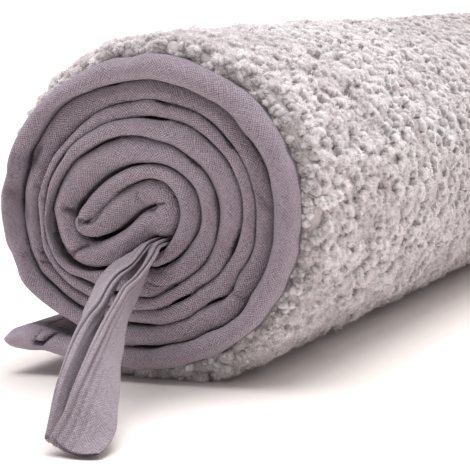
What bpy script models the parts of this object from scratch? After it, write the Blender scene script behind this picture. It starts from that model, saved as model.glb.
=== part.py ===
"""A rolled bath mat: a tufted mat with a bound edge, wound up with its pile outwards.

The roll lies along Y with its front end towards -Y, on a surface at Z = 0. Every wound piece is
one profile carried along the same path, so that each turn lies against the next one with an
even gap. The path is a row of sections, each with a point on the pile side and one on the
backing side of the mat.
"""

from math import cos, pi, radians, sin

import bmesh
import bpy
import numpy as np

MM = 0.001

# The mat as it is cut and sewn
MAT_WIDTH = 600 * MM
BINDING_DEPTH = 8.5 * MM
BINDING_WALL = 1.6 * MM
END_BINDING_DEPTH = 8.0 * MM
MARGIN_SHARE = 0.30
BEAD_ROUNDING = 0.45
NOSE_SHARE = 0.45
GAP = 0.35 * MM

# The pile beyond the binding, at the outermost turn
PILE_SHOULDER = 5.0 * MM
SHOULDER_SHARE = 0.45

# The winding, seen from the front: +X to the right, +Z up, angles counter-clockwise from +X
CENTRE_HEIGHT = 41.5 * MM
DEGREES_A_SECTION = 12
DIRECTIONS = (240, 270, 300, 330, 0, 30, 60, 90, 120, 150, 180, 210)
# Radius in millimetres of each turn's outer line, in the directions above. The outer line of a
# turn is the inner line of the turn before it. The last row is the inner line of the fifth turn.
WINDING = (
    ("first", (41.0, 38.3, 38.0, 38.3, 39.1, 39.0, 38.4, 38.3, 37.9, 38.5, 39.0, 37.4)),
    ("second", (34.1, 33.0, 32.1, 32.5, 32.5, 32.4, 31.7, 32.0, 32.9, 33.2, 33.4, 32.9)),
    ("third", (29.6, 27.6, 26.7, 26.8, 27.7, 27.3, 27.4, 27.1, 27.4, 28.8, 29.8, 29.7)),
    ("fourth", (25.8, 23.7, 22.6, 23.3, 24.6, 24.8, 23.7, 23.3, 24.0, 25.9, 27.3, 27.1)),
    ("fifth", (22.6, 20.6, 18.1, 18.2, 18.3, 18.0, 17.3, 18.2, 20.0, 22.8, 24.8, 24.5)),
    ("inside", (15.2, 13.6, 13.1, 13.1, 14.4, 13.9, 12.6, 12.4, 14.0, 17.1, 20.1, 20.5)),
)
# How far the pile of the outermost turn stands beyond its binding, in the same directions
PILE_REACH = (3.2, 5.0, 7.0, 6.2, 5.8, 5.6, 5.6, 5.6, 5.0, 4.4, 4.0, 2.4)
PILE_REACH_END = 0.0
FIRST_ANGLE = 252
LAST_ANGLE = 180 + 5 * 360

# The loose outer end under the roll: X, Z, thickness and pile below it, in millimetres
TAIL = (
    # x, z, thickness, pile
    (-37.6, 9.2, 3.4, 0.0),
    (-36.2, 9.4, 4.9, 0.0),
    (-32.0, 9.9, 5.9, 0.6),
    (-27.4, 9.8, 5.7, 1.6),
    (-22.4, 8.9, 5.3, 2.6),
    (-16.4, 7.6, 5.1, 3.6),
)

# The folded-back inner end: place from the winding's centre and thickness, in millimetres
CORE = (
    # name, u, v, thickness
    ("down the left", -21.4, -4.9, 5.0),
    ("down the left", -19.7, -8.4, 6.0),
    ("first fold", -16.8, -10.5, 6.2),
    ("first fold", -13.0, -10.8, 6.0),
    ("under the slit", -8.15, -8.7, 5.7),
    ("under the slit", -3.6, -5.8, 5.5),
    ("under the slit", 0.6, -3.1, 5.3),
    ("second fold", 3.6, -1.3, 5.5),
    ("second fold", 4.8, 0.2, 5.4),
    ("second fold", 5.2, 1.9, 5.2),
    ("second fold", 4.8, 3.5, 5.0),
    ("second fold", 3.6, 4.8, 4.8),
    ("second fold", 2.1, 5.4, 4.9),
    ("second fold", 0.4, 5.4, 5.2),
    ("over the slit", -3.3, 3.5, 6.0),
    ("over the slit", -6.9, 0.9, 6.2),
    ("over the slit", -10.3, -2.0, 5.6),
    ("over the slit", -13.6, -4.2, 4.2),
    ("tip of the tongue", -16.2, -4.8, 2.7),
    ("tip of the tongue", -17.6, -4.1, 2.2),
    ("tip of the tongue", -17.8, -2.6, 2.2),
    ("tip of the tongue", -16.8, -1.0, 2.7),
    ("back of the tongue", -14.9, 0.9, 3.6),
    ("back of the tongue", -12.6, 3.5, 3.7),
    ("back of the tongue", -9.5, 6.2, 3.6),
    ("over the core", -4.6, 9.0, 3.4),
    ("over the core", 0.5, 10.1, 3.3),
    ("over the core", 5.2, 9.4, 3.4),
    ("right of the core", 8.7, 6.7, 4.1),
    ("right of the core", 10.7, 2.7, 5.0),
    ("right of the core", 10.9, -1.4, 5.0),
    ("inner end", 9.1, -5.5, 4.3),
    ("inner end", 6.6, -9.0, 3.2),
    ("inner end", 3.4, -11.1, 2.7),
    ("inner end", 0.7, -12.15, 2.4),
)

# The hanging loop: a folded tape bent double, its two strands hanging side by side
TAPE_WIDTH = 11.6 * MM
TAPE_THICKNESS = 1.0 * MM
TIP_STEPS = 6
# Forward of the roll's end, then for each strand its upper edge's X and height, and the lean of
# its width from straight down towards +X, in millimetres and degrees
LOOP = (
    # forward, left (x, z, lean), right (x, z, lean)
    (-7.0, (3.1, 35.1, -58), (5.3, 34.9, -59)),
    (-1.0, (3.1, 35.1, -58), (5.3, 34.9, -59)),
    (2.5, (3.0, 34.6, -60), (5.5, 34.6, -50)),
    (6.0, (2.8, 33.3, -63), (5.9, 33.5, -34)),
    (10.0, (2.8, 31.8, -62), (6.3, 32.1, -25)),
    (14.0, (2.9, 30.9, -57), (6.8, 30.9, -20)),
    (21.0, (3.3, 30.1, -47), (7.8, 29.4, -13)),
    (28.0, (4.0, 28.7, -39), (8.7, 28.3, -5)),
    (36.0, (4.4, 26.2, -29), (10.4, 26.2, 3)),
    (43.0, (5.0, 24.3, -16), (11.8, 24.0, 9)),
    (51.0, (6.4, 22.0, 2), (12.5, 21.1, 18)),
    (59.0, (8.3, 18.4, 22), (12.9, 17.3, 29)),
    (67.0, (10.1, 13.2, 40), (13.5, 12.8, 42)),
    (73.0, (11.1, 9.2, 51), (13.9, 9.1, 51)),
    (78.0, (11.9, 5.7, 61), (13.9, 6.2, 61)),
)

# Colours, in linear values
PILE_COLOUR = (0.56, 0.52, 0.53)
BINDING_COLOUR = (0.25, 0.21, 0.25)
TAPE_COLOUR = (0.38, 0.33, 0.37)


def clear_scene():
    for thing in list(bpy.data.objects):
        bpy.data.objects.remove(thing, do_unlink=True)


def cloth_material(name, colour, roughness):
    """A plain woven or tufted finish, as a Principled BSDF."""
    finish = bpy.data.materials.new(name)
    finish.use_nodes = True
    shader = finish.node_tree.nodes["Principled BSDF"]
    shader.inputs["Base Color"].default_value = (*colour, 1.0)
    shader.inputs["Roughness"].default_value = roughness
    shader.inputs["Metallic"].default_value = 0.0
    return finish


def smooth_between(values, place):
    """The value at a place between the numbers of a list, on a curve through all of them."""
    last = len(values) - 1
    start = min(int(place), last - 1)
    t = place - start
    before, low, high, after = (values[min(max(start + k, 0), last)] for k in (-1, 0, 1, 2))
    bend = (2 * before - 5 * low + 4 * high - after) * t + (-before + 3 * low - 3 * high + after) * t * t
    return low + 0.5 * t * ((high - before) + bend)


class Section:
    """One place on the wound path: a point on the pile side, one on the backing side, the pile."""

    def __init__(self, pile_side, backing_side, reach):
        self.pile_side = np.array(pile_side)
        self.backing_side = np.array(backing_side)
        self.reach = reach
        self.along = 0.0

    def middle(self):
        return (self.pile_side + self.backing_side) / 2

    def half(self):
        """From the middle to the pile side."""
        return (self.pile_side - self.backing_side) / 2

    def point(self, share, beyond=0.0):
        """A point across the thickness: share 1 is the pile side and -1 the backing side."""
        across = self.half()
        return self.middle() + across * share + beyond * across / np.linalg.norm(across)


def section_from_middle(previous, here, following, thickness, reach):
    """A section square to the path, from its middle point and those of its neighbours."""
    direction = np.array(following) - np.array(previous)
    direction = direction / np.linalg.norm(direction)
    outwards = np.array([direction[1], -direction[0]])
    offset = outwards * (thickness * MM - GAP) / 2
    return Section(np.array(here) + offset, np.array(here) - offset, reach)


def winding_sections():
    """The five turns, from the radius of each turn's outer line and of the one inside it."""
    radii = [radius for _, row in WINDING for radius in row]
    a_column = 360 / len(DIRECTIONS)
    found = []
    for angle in range(FIRST_ANGLE, LAST_ANGLE + 1, DEGREES_A_SECTION):
        place = (angle - DIRECTIONS[0]) / a_column
        outer = smooth_between(radii, place) * MM - GAP / 2
        inner = smooth_between(radii, place + len(DIRECTIONS)) * MM + GAP / 2
        reaches = PILE_REACH + (PILE_REACH_END,)
        reach = smooth_between(reaches, place) * MM if place < len(DIRECTIONS) else 0.0
        way = np.array([cos(radians(angle)), sin(radians(angle))])
        centre = np.array([0.0, CENTRE_HEIGHT])
        found.append(Section(centre + way * outer, centre + way * inner, max(reach, 0.0)))
    return found


def tail_sections(first_turn):
    """The loose outer end, which runs into the first turn."""
    middles = [(x * MM, z * MM) for x, z, _, _ in TAIL]
    middles.append(tuple(first_turn.middle()))
    found = []
    for index, (_, _, thickness, pile) in enumerate(TAIL):
        before = middles[max(index - 1, 0)]
        found.append(section_from_middle(before, middles[index], middles[index + 1], thickness, pile * MM))
    return found


def core_sections(last_turn):
    """The folded-back inner end, which follows the last turn."""
    middles = [tuple(last_turn.middle())]
    middles += [(u * MM, v * MM + CENTRE_HEIGHT) for _, u, v, _ in CORE]
    found = []
    for index, (_, _, _, thickness) in enumerate(CORE, start=1):
        after = middles[min(index + 1, len(CORE))]
        found.append(section_from_middle(middles[index - 1], middles[index], after, thickness, 0.0))
    return found


def wound_path():
    """All sections from the loose outer end to the inner end, with their distance along the mat."""
    turns = winding_sections()
    path = tail_sections(turns[0]) + turns + core_sections(turns[-1])
    for before, here in zip(path, path[1:]):
        here.along = before.along + np.linalg.norm(here.middle() - before.middle())
    return path


def section_at(path, along):
    """The section at a distance along the mat, on the straight line between its neighbours."""
    for before, after in zip(path, path[1:]):
        if along <= after.along:
            break
    share = (along - before.along) / (after.along - before.along)
    made = Section(
        before.pile_side + (after.pile_side - before.pile_side) * share,
        before.backing_side + (after.backing_side - before.backing_side) * share,
        before.reach + (after.reach - before.reach) * share,
    )
    made.along = along
    return made


def mesh_object(name, rings, finish, collection):
    """A closed solid lofted through rings of points, with a flat cap at each end."""
    shape = bmesh.new()
    corners = [[shape.verts.new(point) for point in ring] for ring in rings]
    count = len(rings[0])
    for ring, following in zip(corners, corners[1:]):
        for index in range(count):
            beside = (index + 1) % count
            shape.faces.new((ring[index], ring[beside], following[beside], following[index]))
    shape.faces.new(corners[0][::-1])
    shape.faces.new(corners[-1])
    bmesh.ops.recalc_face_normals(shape, faces=shape.faces[:])
    shape.normal_update()
    bmesh.ops.triangulate(shape, faces=shape.faces[:])
    mesh = bpy.data.meshes.new(name)
    shape.to_mesh(mesh)
    shape.free()
    mesh.shade_smooth()
    mesh.set_sharp_from_angle(angle=radians(40))
    mesh.materials.append(finish)
    made = bpy.data.objects.new(name, mesh)
    collection.objects.link(made)
    return made


def on_floor(point, depth):
    """A point of the end view carried to a depth along the roll, and no lower than the surface."""
    return (point[0], depth, max(point[1], 0.0))


def mat_ring(section, only_margin):
    """The mat's outline across its width: two thin margins for the bindings, and the pile body."""
    edge = MAT_WIDTH / 2 - BINDING_WALL - GAP
    body = MAT_WIDTH / 2 - BINDING_DEPTH - GAP
    margin = MARGIN_SHARE
    side = margin if only_margin else 1.0
    step = GAP if only_margin else 0.0
    reach = 0.0 if only_margin else section.reach
    shoulder = body - PILE_SHOULDER
    low_reach = SHOULDER_SHARE * reach
    half = [
        # place across the mat, share of the thickness, pile beyond it
        (edge, margin, 0.0),
        (body, margin, 0.0),
        (body - step, side, low_reach),
        (shoulder, side, reach),
    ]
    backing = [(body - step, -side, 0.0), (body, -margin, 0.0), (edge, -margin, 0.0)]
    outline = [(-place, share, beyond) for place, share, beyond in half] + half[::-1]
    outline += backing[::-1] + [(-place, share, beyond) for place, share, beyond in backing]
    return [on_floor(section.point(share, beyond), place) for place, share, beyond in outline]


def build_mat(path, finish, collection):
    """The tufted sheet, wound as one solid from its outer margin to its inner margin."""
    length = path[-1].along
    first = BINDING_WALL + GAP
    body_start = END_BINDING_DEPTH + GAP
    body_end = length - body_start
    rings = [mat_ring(section_at(path, first), True)]
    for section in path:
        if first < section.along < body_start:
            rings.append(mat_ring(section, True))
    rings.append(mat_ring(section_at(path, body_start), True))
    rings.append(mat_ring(section_at(path, body_start + GAP), False))
    for section in path:
        if body_start + GAP < section.along < body_end - GAP:
            rings.append(mat_ring(section, False))
    rings.append(mat_ring(section_at(path, body_end - GAP), False))
    rings.append(mat_ring(section_at(path, body_end), True))
    for section in path:
        if body_end < section.along < length - first:
            rings.append(mat_ring(section, True))
    rings.append(mat_ring(section_at(path, length - first), True))
    return mesh_object("mat", rings, finish, collection)


def slot_share(section):
    """How far from the middle the slot's wall lies, as a share of half the thickness."""
    return MARGIN_SHARE + GAP / np.linalg.norm(section.half())


def build_edge_binding(name, side, path, finish, collection):
    """The tape round one long edge: side -1 is the front of the roll and 1 the back."""
    rings = []
    for section in path:
        slot = slot_share(section)
        rounding = BEAD_ROUNDING * np.linalg.norm(section.half())
        profile = [
            (BINDING_DEPTH, 1.0),
            (rounding, 1.0),
            (0.0, NOSE_SHARE),
            (0.0, -NOSE_SHARE),
            (rounding, -1.0),
            (BINDING_DEPTH, -1.0),
            (BINDING_DEPTH, -slot),
            (BINDING_WALL, -slot),
            (BINDING_WALL, slot),
            (BINDING_DEPTH, slot),
        ]
        rings.append(
            [on_floor(section.point(share), side * (MAT_WIDTH / 2 - depth)) for depth, share in profile]
        )
    return mesh_object(name, rings, finish, collection)


def build_end_binding(name, path, from_start, finish, collection):
    """The tape round one short edge, which runs along the roll between the two edge bindings."""
    length = path[-1].along

    def at(depth):
        return section_at(path, depth if from_start else length - depth)

    places = [section.along if from_start else length - section.along for section in path]
    bends = sorted(place for place in places if BINDING_WALL + GAP < place < END_BINDING_DEPTH - GAP)
    rounding = BEAD_ROUNDING * np.linalg.norm(at(BINDING_WALL).half())
    outside = [rounding] + bends + [END_BINDING_DEPTH]
    inside = [BINDING_WALL] + bends + [END_BINDING_DEPTH]
    ring = [at(depth).point(1.0) for depth in reversed(outside)]
    ring += [at(0.0).point(NOSE_SHARE), at(0.0).point(-NOSE_SHARE)]
    ring += [at(depth).point(-1.0) for depth in outside]
    ring += [at(depth).point(-slot_share(at(depth))) for depth in reversed(inside)]
    ring += [at(depth).point(slot_share(at(depth))) for depth in inside]
    reach = MAT_WIDTH / 2 - BINDING_DEPTH - GAP
    rings = [[on_floor(point, depth) for point in ring] for depth in (-reach, reach)]
    return mesh_object(name, rings, finish, collection)


def strand_sections(column):
    """One strand of the loop: its upper edge, the way onward, its width and its facing at each row."""
    edge = np.array([(row[column][0], -row[0], row[column][1]) for row in LOOP]) * MM
    edge[:, 1] -= MAT_WIDTH / 2
    sections = []
    for index, row in enumerate(LOOP):
        onward = edge[min(index + 1, len(LOOP) - 1)] - edge[max(index - 1, 0)]
        onward = onward / np.linalg.norm(onward)
        down = np.array([0.0, 0.0, -1.0])
        down = down - onward * (down @ onward)
        down = down / np.linalg.norm(down)
        rightward = np.cross(onward, down)
        lean = radians(row[column][2])
        width = down * cos(lean) + rightward * sin(lean)
        facing = rightward * cos(lean) - down * sin(lean)
        sections.append((edge[index], onward, width, facing))
    return sections


def tape_ring(edge, width, facing):
    """The four corners of the tape's cross-section, from the middle of its upper edge."""
    half = facing * TAPE_THICKNESS / 2
    far = edge + width * TAPE_WIDTH
    return [tuple(point) for point in (edge - half, far - half, far + half, edge + half)]


def build_hanging_loop(finish, collection):
    """The tape along its left strand to the tip, round the tip, and back along its right strand."""
    left, right = strand_sections(1), strand_sections(2)
    rings = [tape_ring(edge, width, facing) for edge, _, width, facing in left]
    start, onward, width, _ = left[-1]
    end = right[-1][0]
    middle, apart = (start + end) / 2, (end - start) / 2
    straight = apart - width * (apart @ width)
    radius = np.linalg.norm(straight)
    for step in range(1, TIP_STEPS):
        turn = pi * step / TIP_STEPS
        outwards = onward * sin(turn) - straight / radius * cos(turn)
        edge = middle - apart * cos(turn) + onward * radius * sin(turn)
        rings.append(tape_ring(edge, width, -outwards))
    rings += [tape_ring(edge, width, -facing) for edge, _, width, facing in reversed(right)]
    return mesh_object("hanging_loop", rings, finish, collection)


def centre_over_origin(pieces):
    """Moves the whole object so that the middle of its footprint is over the origin."""
    points = np.array([vertex.co[:] for piece in pieces for vertex in piece.data.vertices])
    low, high = points.min(axis=0), points.max(axis=0)
    shift = np.array([-(low[0] + high[0]) / 2, -(low[1] + high[1]) / 2, 0.0])
    for piece in pieces:
        piece.location = shift


def main():
    clear_scene()
    collection = bpy.data.collections.new("rolled_bath_mat")
    bpy.context.scene.collection.children.link(collection)
    pile = cloth_material("pile", PILE_COLOUR, 0.95)
    binding = cloth_material("binding", BINDING_COLOUR, 0.85)
    tape = cloth_material("loop_tape", TAPE_COLOUR, 0.85)
    path = wound_path()
    pieces = [
        build_mat(path, pile, collection),
        build_edge_binding("binding_front", -1, path, binding, collection),
        build_edge_binding("binding_back", 1, path, binding, collection),
        build_end_binding("binding_outer_end", path, True, binding, collection),
        build_end_binding("binding_inner_end", path, False, binding, collection),
        build_hanging_loop(tape, collection),
    ]
    centre_over_origin(pieces)


if __name__ == "__main__":
    main()
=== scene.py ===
"""Looks of the rolled bath mat: fine wound bindings, the cloth, its tufts, the loop and the stage.

The mat is wound along one path, seen from the roll's front with X to the right and Z up. Each
wound piece is a surface over two parameters: the distance along that path and the place round a
profile. Lengths in the tables are in millimetres unless a heading says otherwise.
"""

from collections import namedtuple
from math import cos, pi, radians, sin

import bpy
import numpy as np
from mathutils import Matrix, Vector


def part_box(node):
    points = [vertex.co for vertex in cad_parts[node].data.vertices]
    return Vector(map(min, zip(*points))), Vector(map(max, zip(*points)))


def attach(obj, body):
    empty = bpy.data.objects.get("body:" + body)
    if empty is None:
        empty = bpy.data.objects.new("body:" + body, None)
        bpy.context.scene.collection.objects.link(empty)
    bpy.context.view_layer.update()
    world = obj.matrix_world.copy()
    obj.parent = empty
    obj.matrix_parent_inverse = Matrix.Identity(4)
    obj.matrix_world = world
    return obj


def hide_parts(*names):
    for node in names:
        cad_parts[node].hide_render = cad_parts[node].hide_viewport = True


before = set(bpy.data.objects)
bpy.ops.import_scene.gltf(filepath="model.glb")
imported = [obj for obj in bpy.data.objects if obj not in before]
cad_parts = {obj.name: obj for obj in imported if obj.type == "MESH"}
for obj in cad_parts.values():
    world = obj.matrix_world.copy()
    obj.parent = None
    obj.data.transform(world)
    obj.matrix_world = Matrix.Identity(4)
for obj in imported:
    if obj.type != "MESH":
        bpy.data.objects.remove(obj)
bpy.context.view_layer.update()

bl_info = {
    "name": "Rolled bath mat",
    "version": (1, 0, 0),
    "blender": (4, 5, 0),
    "location": "3D View > Sidebar > Mat",
    "description": "Builds the looks of a rolled bath mat over its CAD frame",
    "category": "Object",
}

MM = 0.001

# Place of the winding in the part's frame, and the least height of the looks above the floor
X_SHIFT = -0.95
CENTRE = np.array([0.0, 41.5])
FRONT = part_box("binding_front")[0][1] / MM
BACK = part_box("binding_back")[1][1] / MM
FLOOR_LIFT = 0.02

# The bindings' depth over the mat's edges, and their wall at its rim
BINDING_DEPTH = 8.5
BINDING_WALL = 1.6
END_DEPTH = 8.0
CLEARANCE = 0.3

# The cloth's share of the thickness, in its margins under the bindings and in its body
MARGIN_SHARE = 0.30
BODY_SHARE = 0.97
BODY_STEP = 0.6
TUFT_HEIGHT = 2.4

# The space between turns, which wavers and opens here and there
GAP = 0.12
GROOVE_WAVER = 0.22
GROOVE_OPENING = 0.55

# Where the edge bindings end, and the end bindings and the cloth's body begin
INNER_FRONT = FRONT + BINDING_DEPTH + CLEARANCE
INNER_BACK = BACK - BINDING_DEPTH - CLEARANCE

# Grooves between turns: radius in hundredths of the ring's height, by direction in degrees. Each
# row starts at the lower left and runs once round, counter-clockwise.
UNIT = 0.76
GROOVES = (
    ("first and second", (
        (240, 44.9), (260, 44.1), (270, 43.4), (280, 42.6), (292, 42.6), (298, 41.9), (306, 43.3),
        (313, 43.9), (318, 43.7), (324, 42.7), (336, 43.3), (345, 42.8), (360, 42.7), (382, 43.1),
        (400, 42.0), (412, 42.3), (430, 41.3), (450, 42.1), (465, 41.9), (480, 43.7), (495, 45.6),
        (510, 45.2), (517, 45.7), (525, 45.0), (540, 45.2), (555, 44.4), (565, 44.6), (570, 44.0),
        (577, 42.3), (585, 40.9), (594, 39.8))),
    ("second and third", (
        (240, 38.9), (262, 36.7), (272, 36.5), (285, 35.7), (293, 35.5), (300, 34.5), (307, 35.2),
        (315, 36.6), (322, 36.8), (330, 35.2), (338, 36.5), (345, 36.6), (360, 36.4), (390, 35.9),
        (420, 36.0), (435, 35.2), (450, 35.7), (480, 36.0), (495, 36.3), (510, 36.8), (525, 37.3),
        (532, 38.1), (540, 37.8), (555, 38.0), (563, 38.7), (570, 37.6), (585, 35.8), (592, 34.6))),
    ("third and fourth", (
        (240, 33.9), (262, 31.8), (270, 31.2), (285, 30.0), (297, 29.5), (308, 28.9), (319, 29.7),
        (330, 30.6), (345, 31.6), (360, 32.4), (375, 33.1), (390, 32.6), (405, 31.6), (420, 31.2),
        (435, 30.6), (450, 30.6), (465, 30.6), (480, 31.6), (495, 32.8), (510, 33.9), (525, 34.8),
        (540, 35.4), (547, 35.8), (555, 35.8), (570, 35.2), (580, 33.2), (590, 31.0))),
    ("fourth and fifth", (
        (240, 29.7), (262, 27.6), (272, 27.2), (285, 25.7), (298, 24.4), (312, 24.3), (324, 24.6),
        (334, 24.0), (345, 24.2), (360, 24.1), (390, 23.7), (405, 23.2), (420, 22.7), (435, 23.0),
        (450, 23.9), (465, 25.1), (480, 26.3), (495, 28.0), (510, 30.3), (525, 32.2), (540, 33.8),
        (550, 34.4), (558, 34.4), (565, 34.1), (571, 33.0), (577, 31.1), (583, 28.6), (589, 25.2))),
    ("inside of the fifth", (
        (240, 20.0), (270, 17.9), (300, 17.3), (330, 17.3), (360, 18.9), (390, 18.3), (405, 17.4),
        (420, 16.6), (450, 15.7), (480, 16.6), (495, 17.9), (510, 19.6), (525, 22.4), (540, 26.0),
        (570, 27.0))),
)

# The outermost turn, by direction: the radius of its outer side, and how far the pile reaches
# beyond it. At the last direction that side has become the first groove.
OUTER_DIRECTIONS = (*range(240, 571, 30), 585, 600)
OUTER_LINE = (41.0, 38.3, 38.0, 38.3, 39.1, 39.0, 38.4, 38.3, 37.9, 38.9, 39.7, 38.5, 35.4)
PILE_REACH = (3.2, 5.0, 7.0, 6.2, 5.8, 5.6, 5.6, 5.6, 5.0, 3.4, 3.0, 1.4, 0.9, 0.4)
PILE_DIVES_ANGLE = OUTER_DIRECTIONS[-1]
PILE_END_ANGLE = PILE_DIVES_ANGLE + 6

# Degrees turned where the loose end joins the turns, and where the folded core leaves them
FIRST_ANGLE = 252
LAST_ANGLE = 180 + 5 * 360
STEP_ANGLE = 1
SPARE_ANGLE = 12

# The loose outer end under the roll
TAIL = (
    # x, z, thickness, pile below
    (-38.1, 8.75, 2.4, 0.0),
    (-37.0, 8.7, 4.2, 0.0),
    (-34.9, 8.8, 5.7, 0.0),
    (-32.0, 8.95, 6.7, 0.1),
    (-27.4, 8.7, 5.7, 0.3),
    (-22.4, 7.5, 5.4, 0.8),
    (-16.4, 7.0, 5.4, 2.4),
)

# The folded-back inner end, from the winding's centre
CORE = (
    # u, v, thickness
    (-21.4, -4.9, 5.2),
    (-19.7, -8.4, 6.2),
    (-16.8, -10.5, 6.5),
    (-13.0, -10.8, 6.3),
    (-8.15, -8.7, 5.9),
    (-3.6, -5.8, 5.7),
    (0.3, -2.65, 6.6),
    (4.0, -1.6, 8.2),
    (4.95, 0.2, 7.2),
    (5.15, 1.9, 6.7),
    (4.7, 3.5, 6.3),
    (3.6, 4.7, 6.1),
    (2.1, 5.15, 6.0),
    (0.45, 5.05, 6.3),
    (-3.3, 3.6, 6.3),
    (-7.05, 1.1, 7.0),
    (-10.45, -1.8, 6.5),
    (-13.75, -4.0, 5.1),
    (-16.3, -4.65, 3.6),
    (-17.6, -4.1, 2.6),
    (-17.8, -2.6, 2.6),
    (-16.6, -1.1, 3.6),
    (-14.65, 0.7, 4.6),
    (-12.4, 3.3, 4.5),
    (-9.3, 5.95, 4.4),
    (-4.5, 8.8, 4.0),
    (0.5, 10.1, 3.5),
    (5.2, 9.4, 3.7),
    (8.8, 6.7, 4.5),
    (10.9, 2.7, 5.4),
    (11.0, -1.4, 5.3),
    (9.2, -5.6, 4.6),
    (6.6, -9.0, 3.5),
    (3.4, -11.1, 2.9),
    (0.7, -12.15, 2.5),
)
STATIONS_A_ROW = 10

# How far the edge bindings stand forward of the roll's ends, and how far their outer side falls back
# from their inner side, by degrees turned. Below 0 they stand back, or the inner side falls back.
STAND = (
    # degrees turned, forward, outer side back
    (252, 0.0, 0.0),
    (330, 0.0, 0.1),
    (380, 0.0, 0.6),
    (420, 0.0, 1.2),
    (480, 0.0, 1.2),
    (505, 0.0, 0.2),
    (530, -0.7, -0.7),
    (570, -0.8, -0.8),
    (600, -0.3, -0.3),
    (640, -1.5, 1.0),
    (700, -2.2, 1.5),
    (760, -2.7, 1.5),
    (850, -2.7, 1.3),
    (900, -1.6, 0.9),
    (960, -1.3, 0.4),
    (1000, -1.8, 0.8),
    (1080, -2.1, 0.8),
    (1190, -2.4, 0.6),
    (1250, -0.9, 0.2),
    (1300, -0.5, 0.4),
    (1360, -1.4, 0.0),
    (1440, -1.6, 0.0),
    (1490, -0.9, 0.2),
    (1560, -0.5, 0.5),
    (1680, -0.4, 0.2),
    (1740, -1.2, 0.0),
    (1800, -0.8, 0.0),
    (1900, -0.4, 0.4),
    (1980, -0.9, 0.0),
)

# The bead of an edge binding: a round nose, and the tape's walls behind it. Both its ends are
# rounded off, the loose end is lumpy, and the back one has fewer sections and columns.
NOSE_SHARE = 1.3
NOSE_LONGEST = 4.2
NOSE_POWER = 1.15
END_ROUNDING = 2.2
END_THINNEST = 0.25
LOOSE_LUMPS = 0.35
LOOSE_LUMPS_UP_TO = (24.0, 16.0)
WANDERS_FROM_ANGLE = 640
CREASE_DEPTH_REACH = 7.0
BACK_NOSE_COLUMNS = 11
COARSE_STEP = 6
WALLS = (
    # share of half the thickness, depth, least distance behind the nose
    (0.99, 5.0, 0.4),
    (1.0, 6.5, 1.4),
    (0.97, 7.5, 2.6),
    (0.90, BINDING_DEPTH, 3.6),
)

# How much painted shade darkens places of an edge binding on top of their creases, or below 0 how much
# painted light lightens them, and where that comes and goes: by degrees turned, or by distance along
PILE_WALL_SHADE = 1.8
BACKING_WALL_SHADE = 1.0
SECOND_TURN_SHADE = 0.35
SECOND_TURN_STARTS = (640.0, 720.0)
SECOND_TURN_STOPS = (1000.0, 900.0)
# The loose end's nose is lighter as painted light, and its top darker as the roll's painted shadow
LOOSE_NOSE_SHADE = -0.7
LOOSE_TOP_SHADE = 0.8
LOOSE_TOP_STARTS = (5.0, 11.0)
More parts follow.
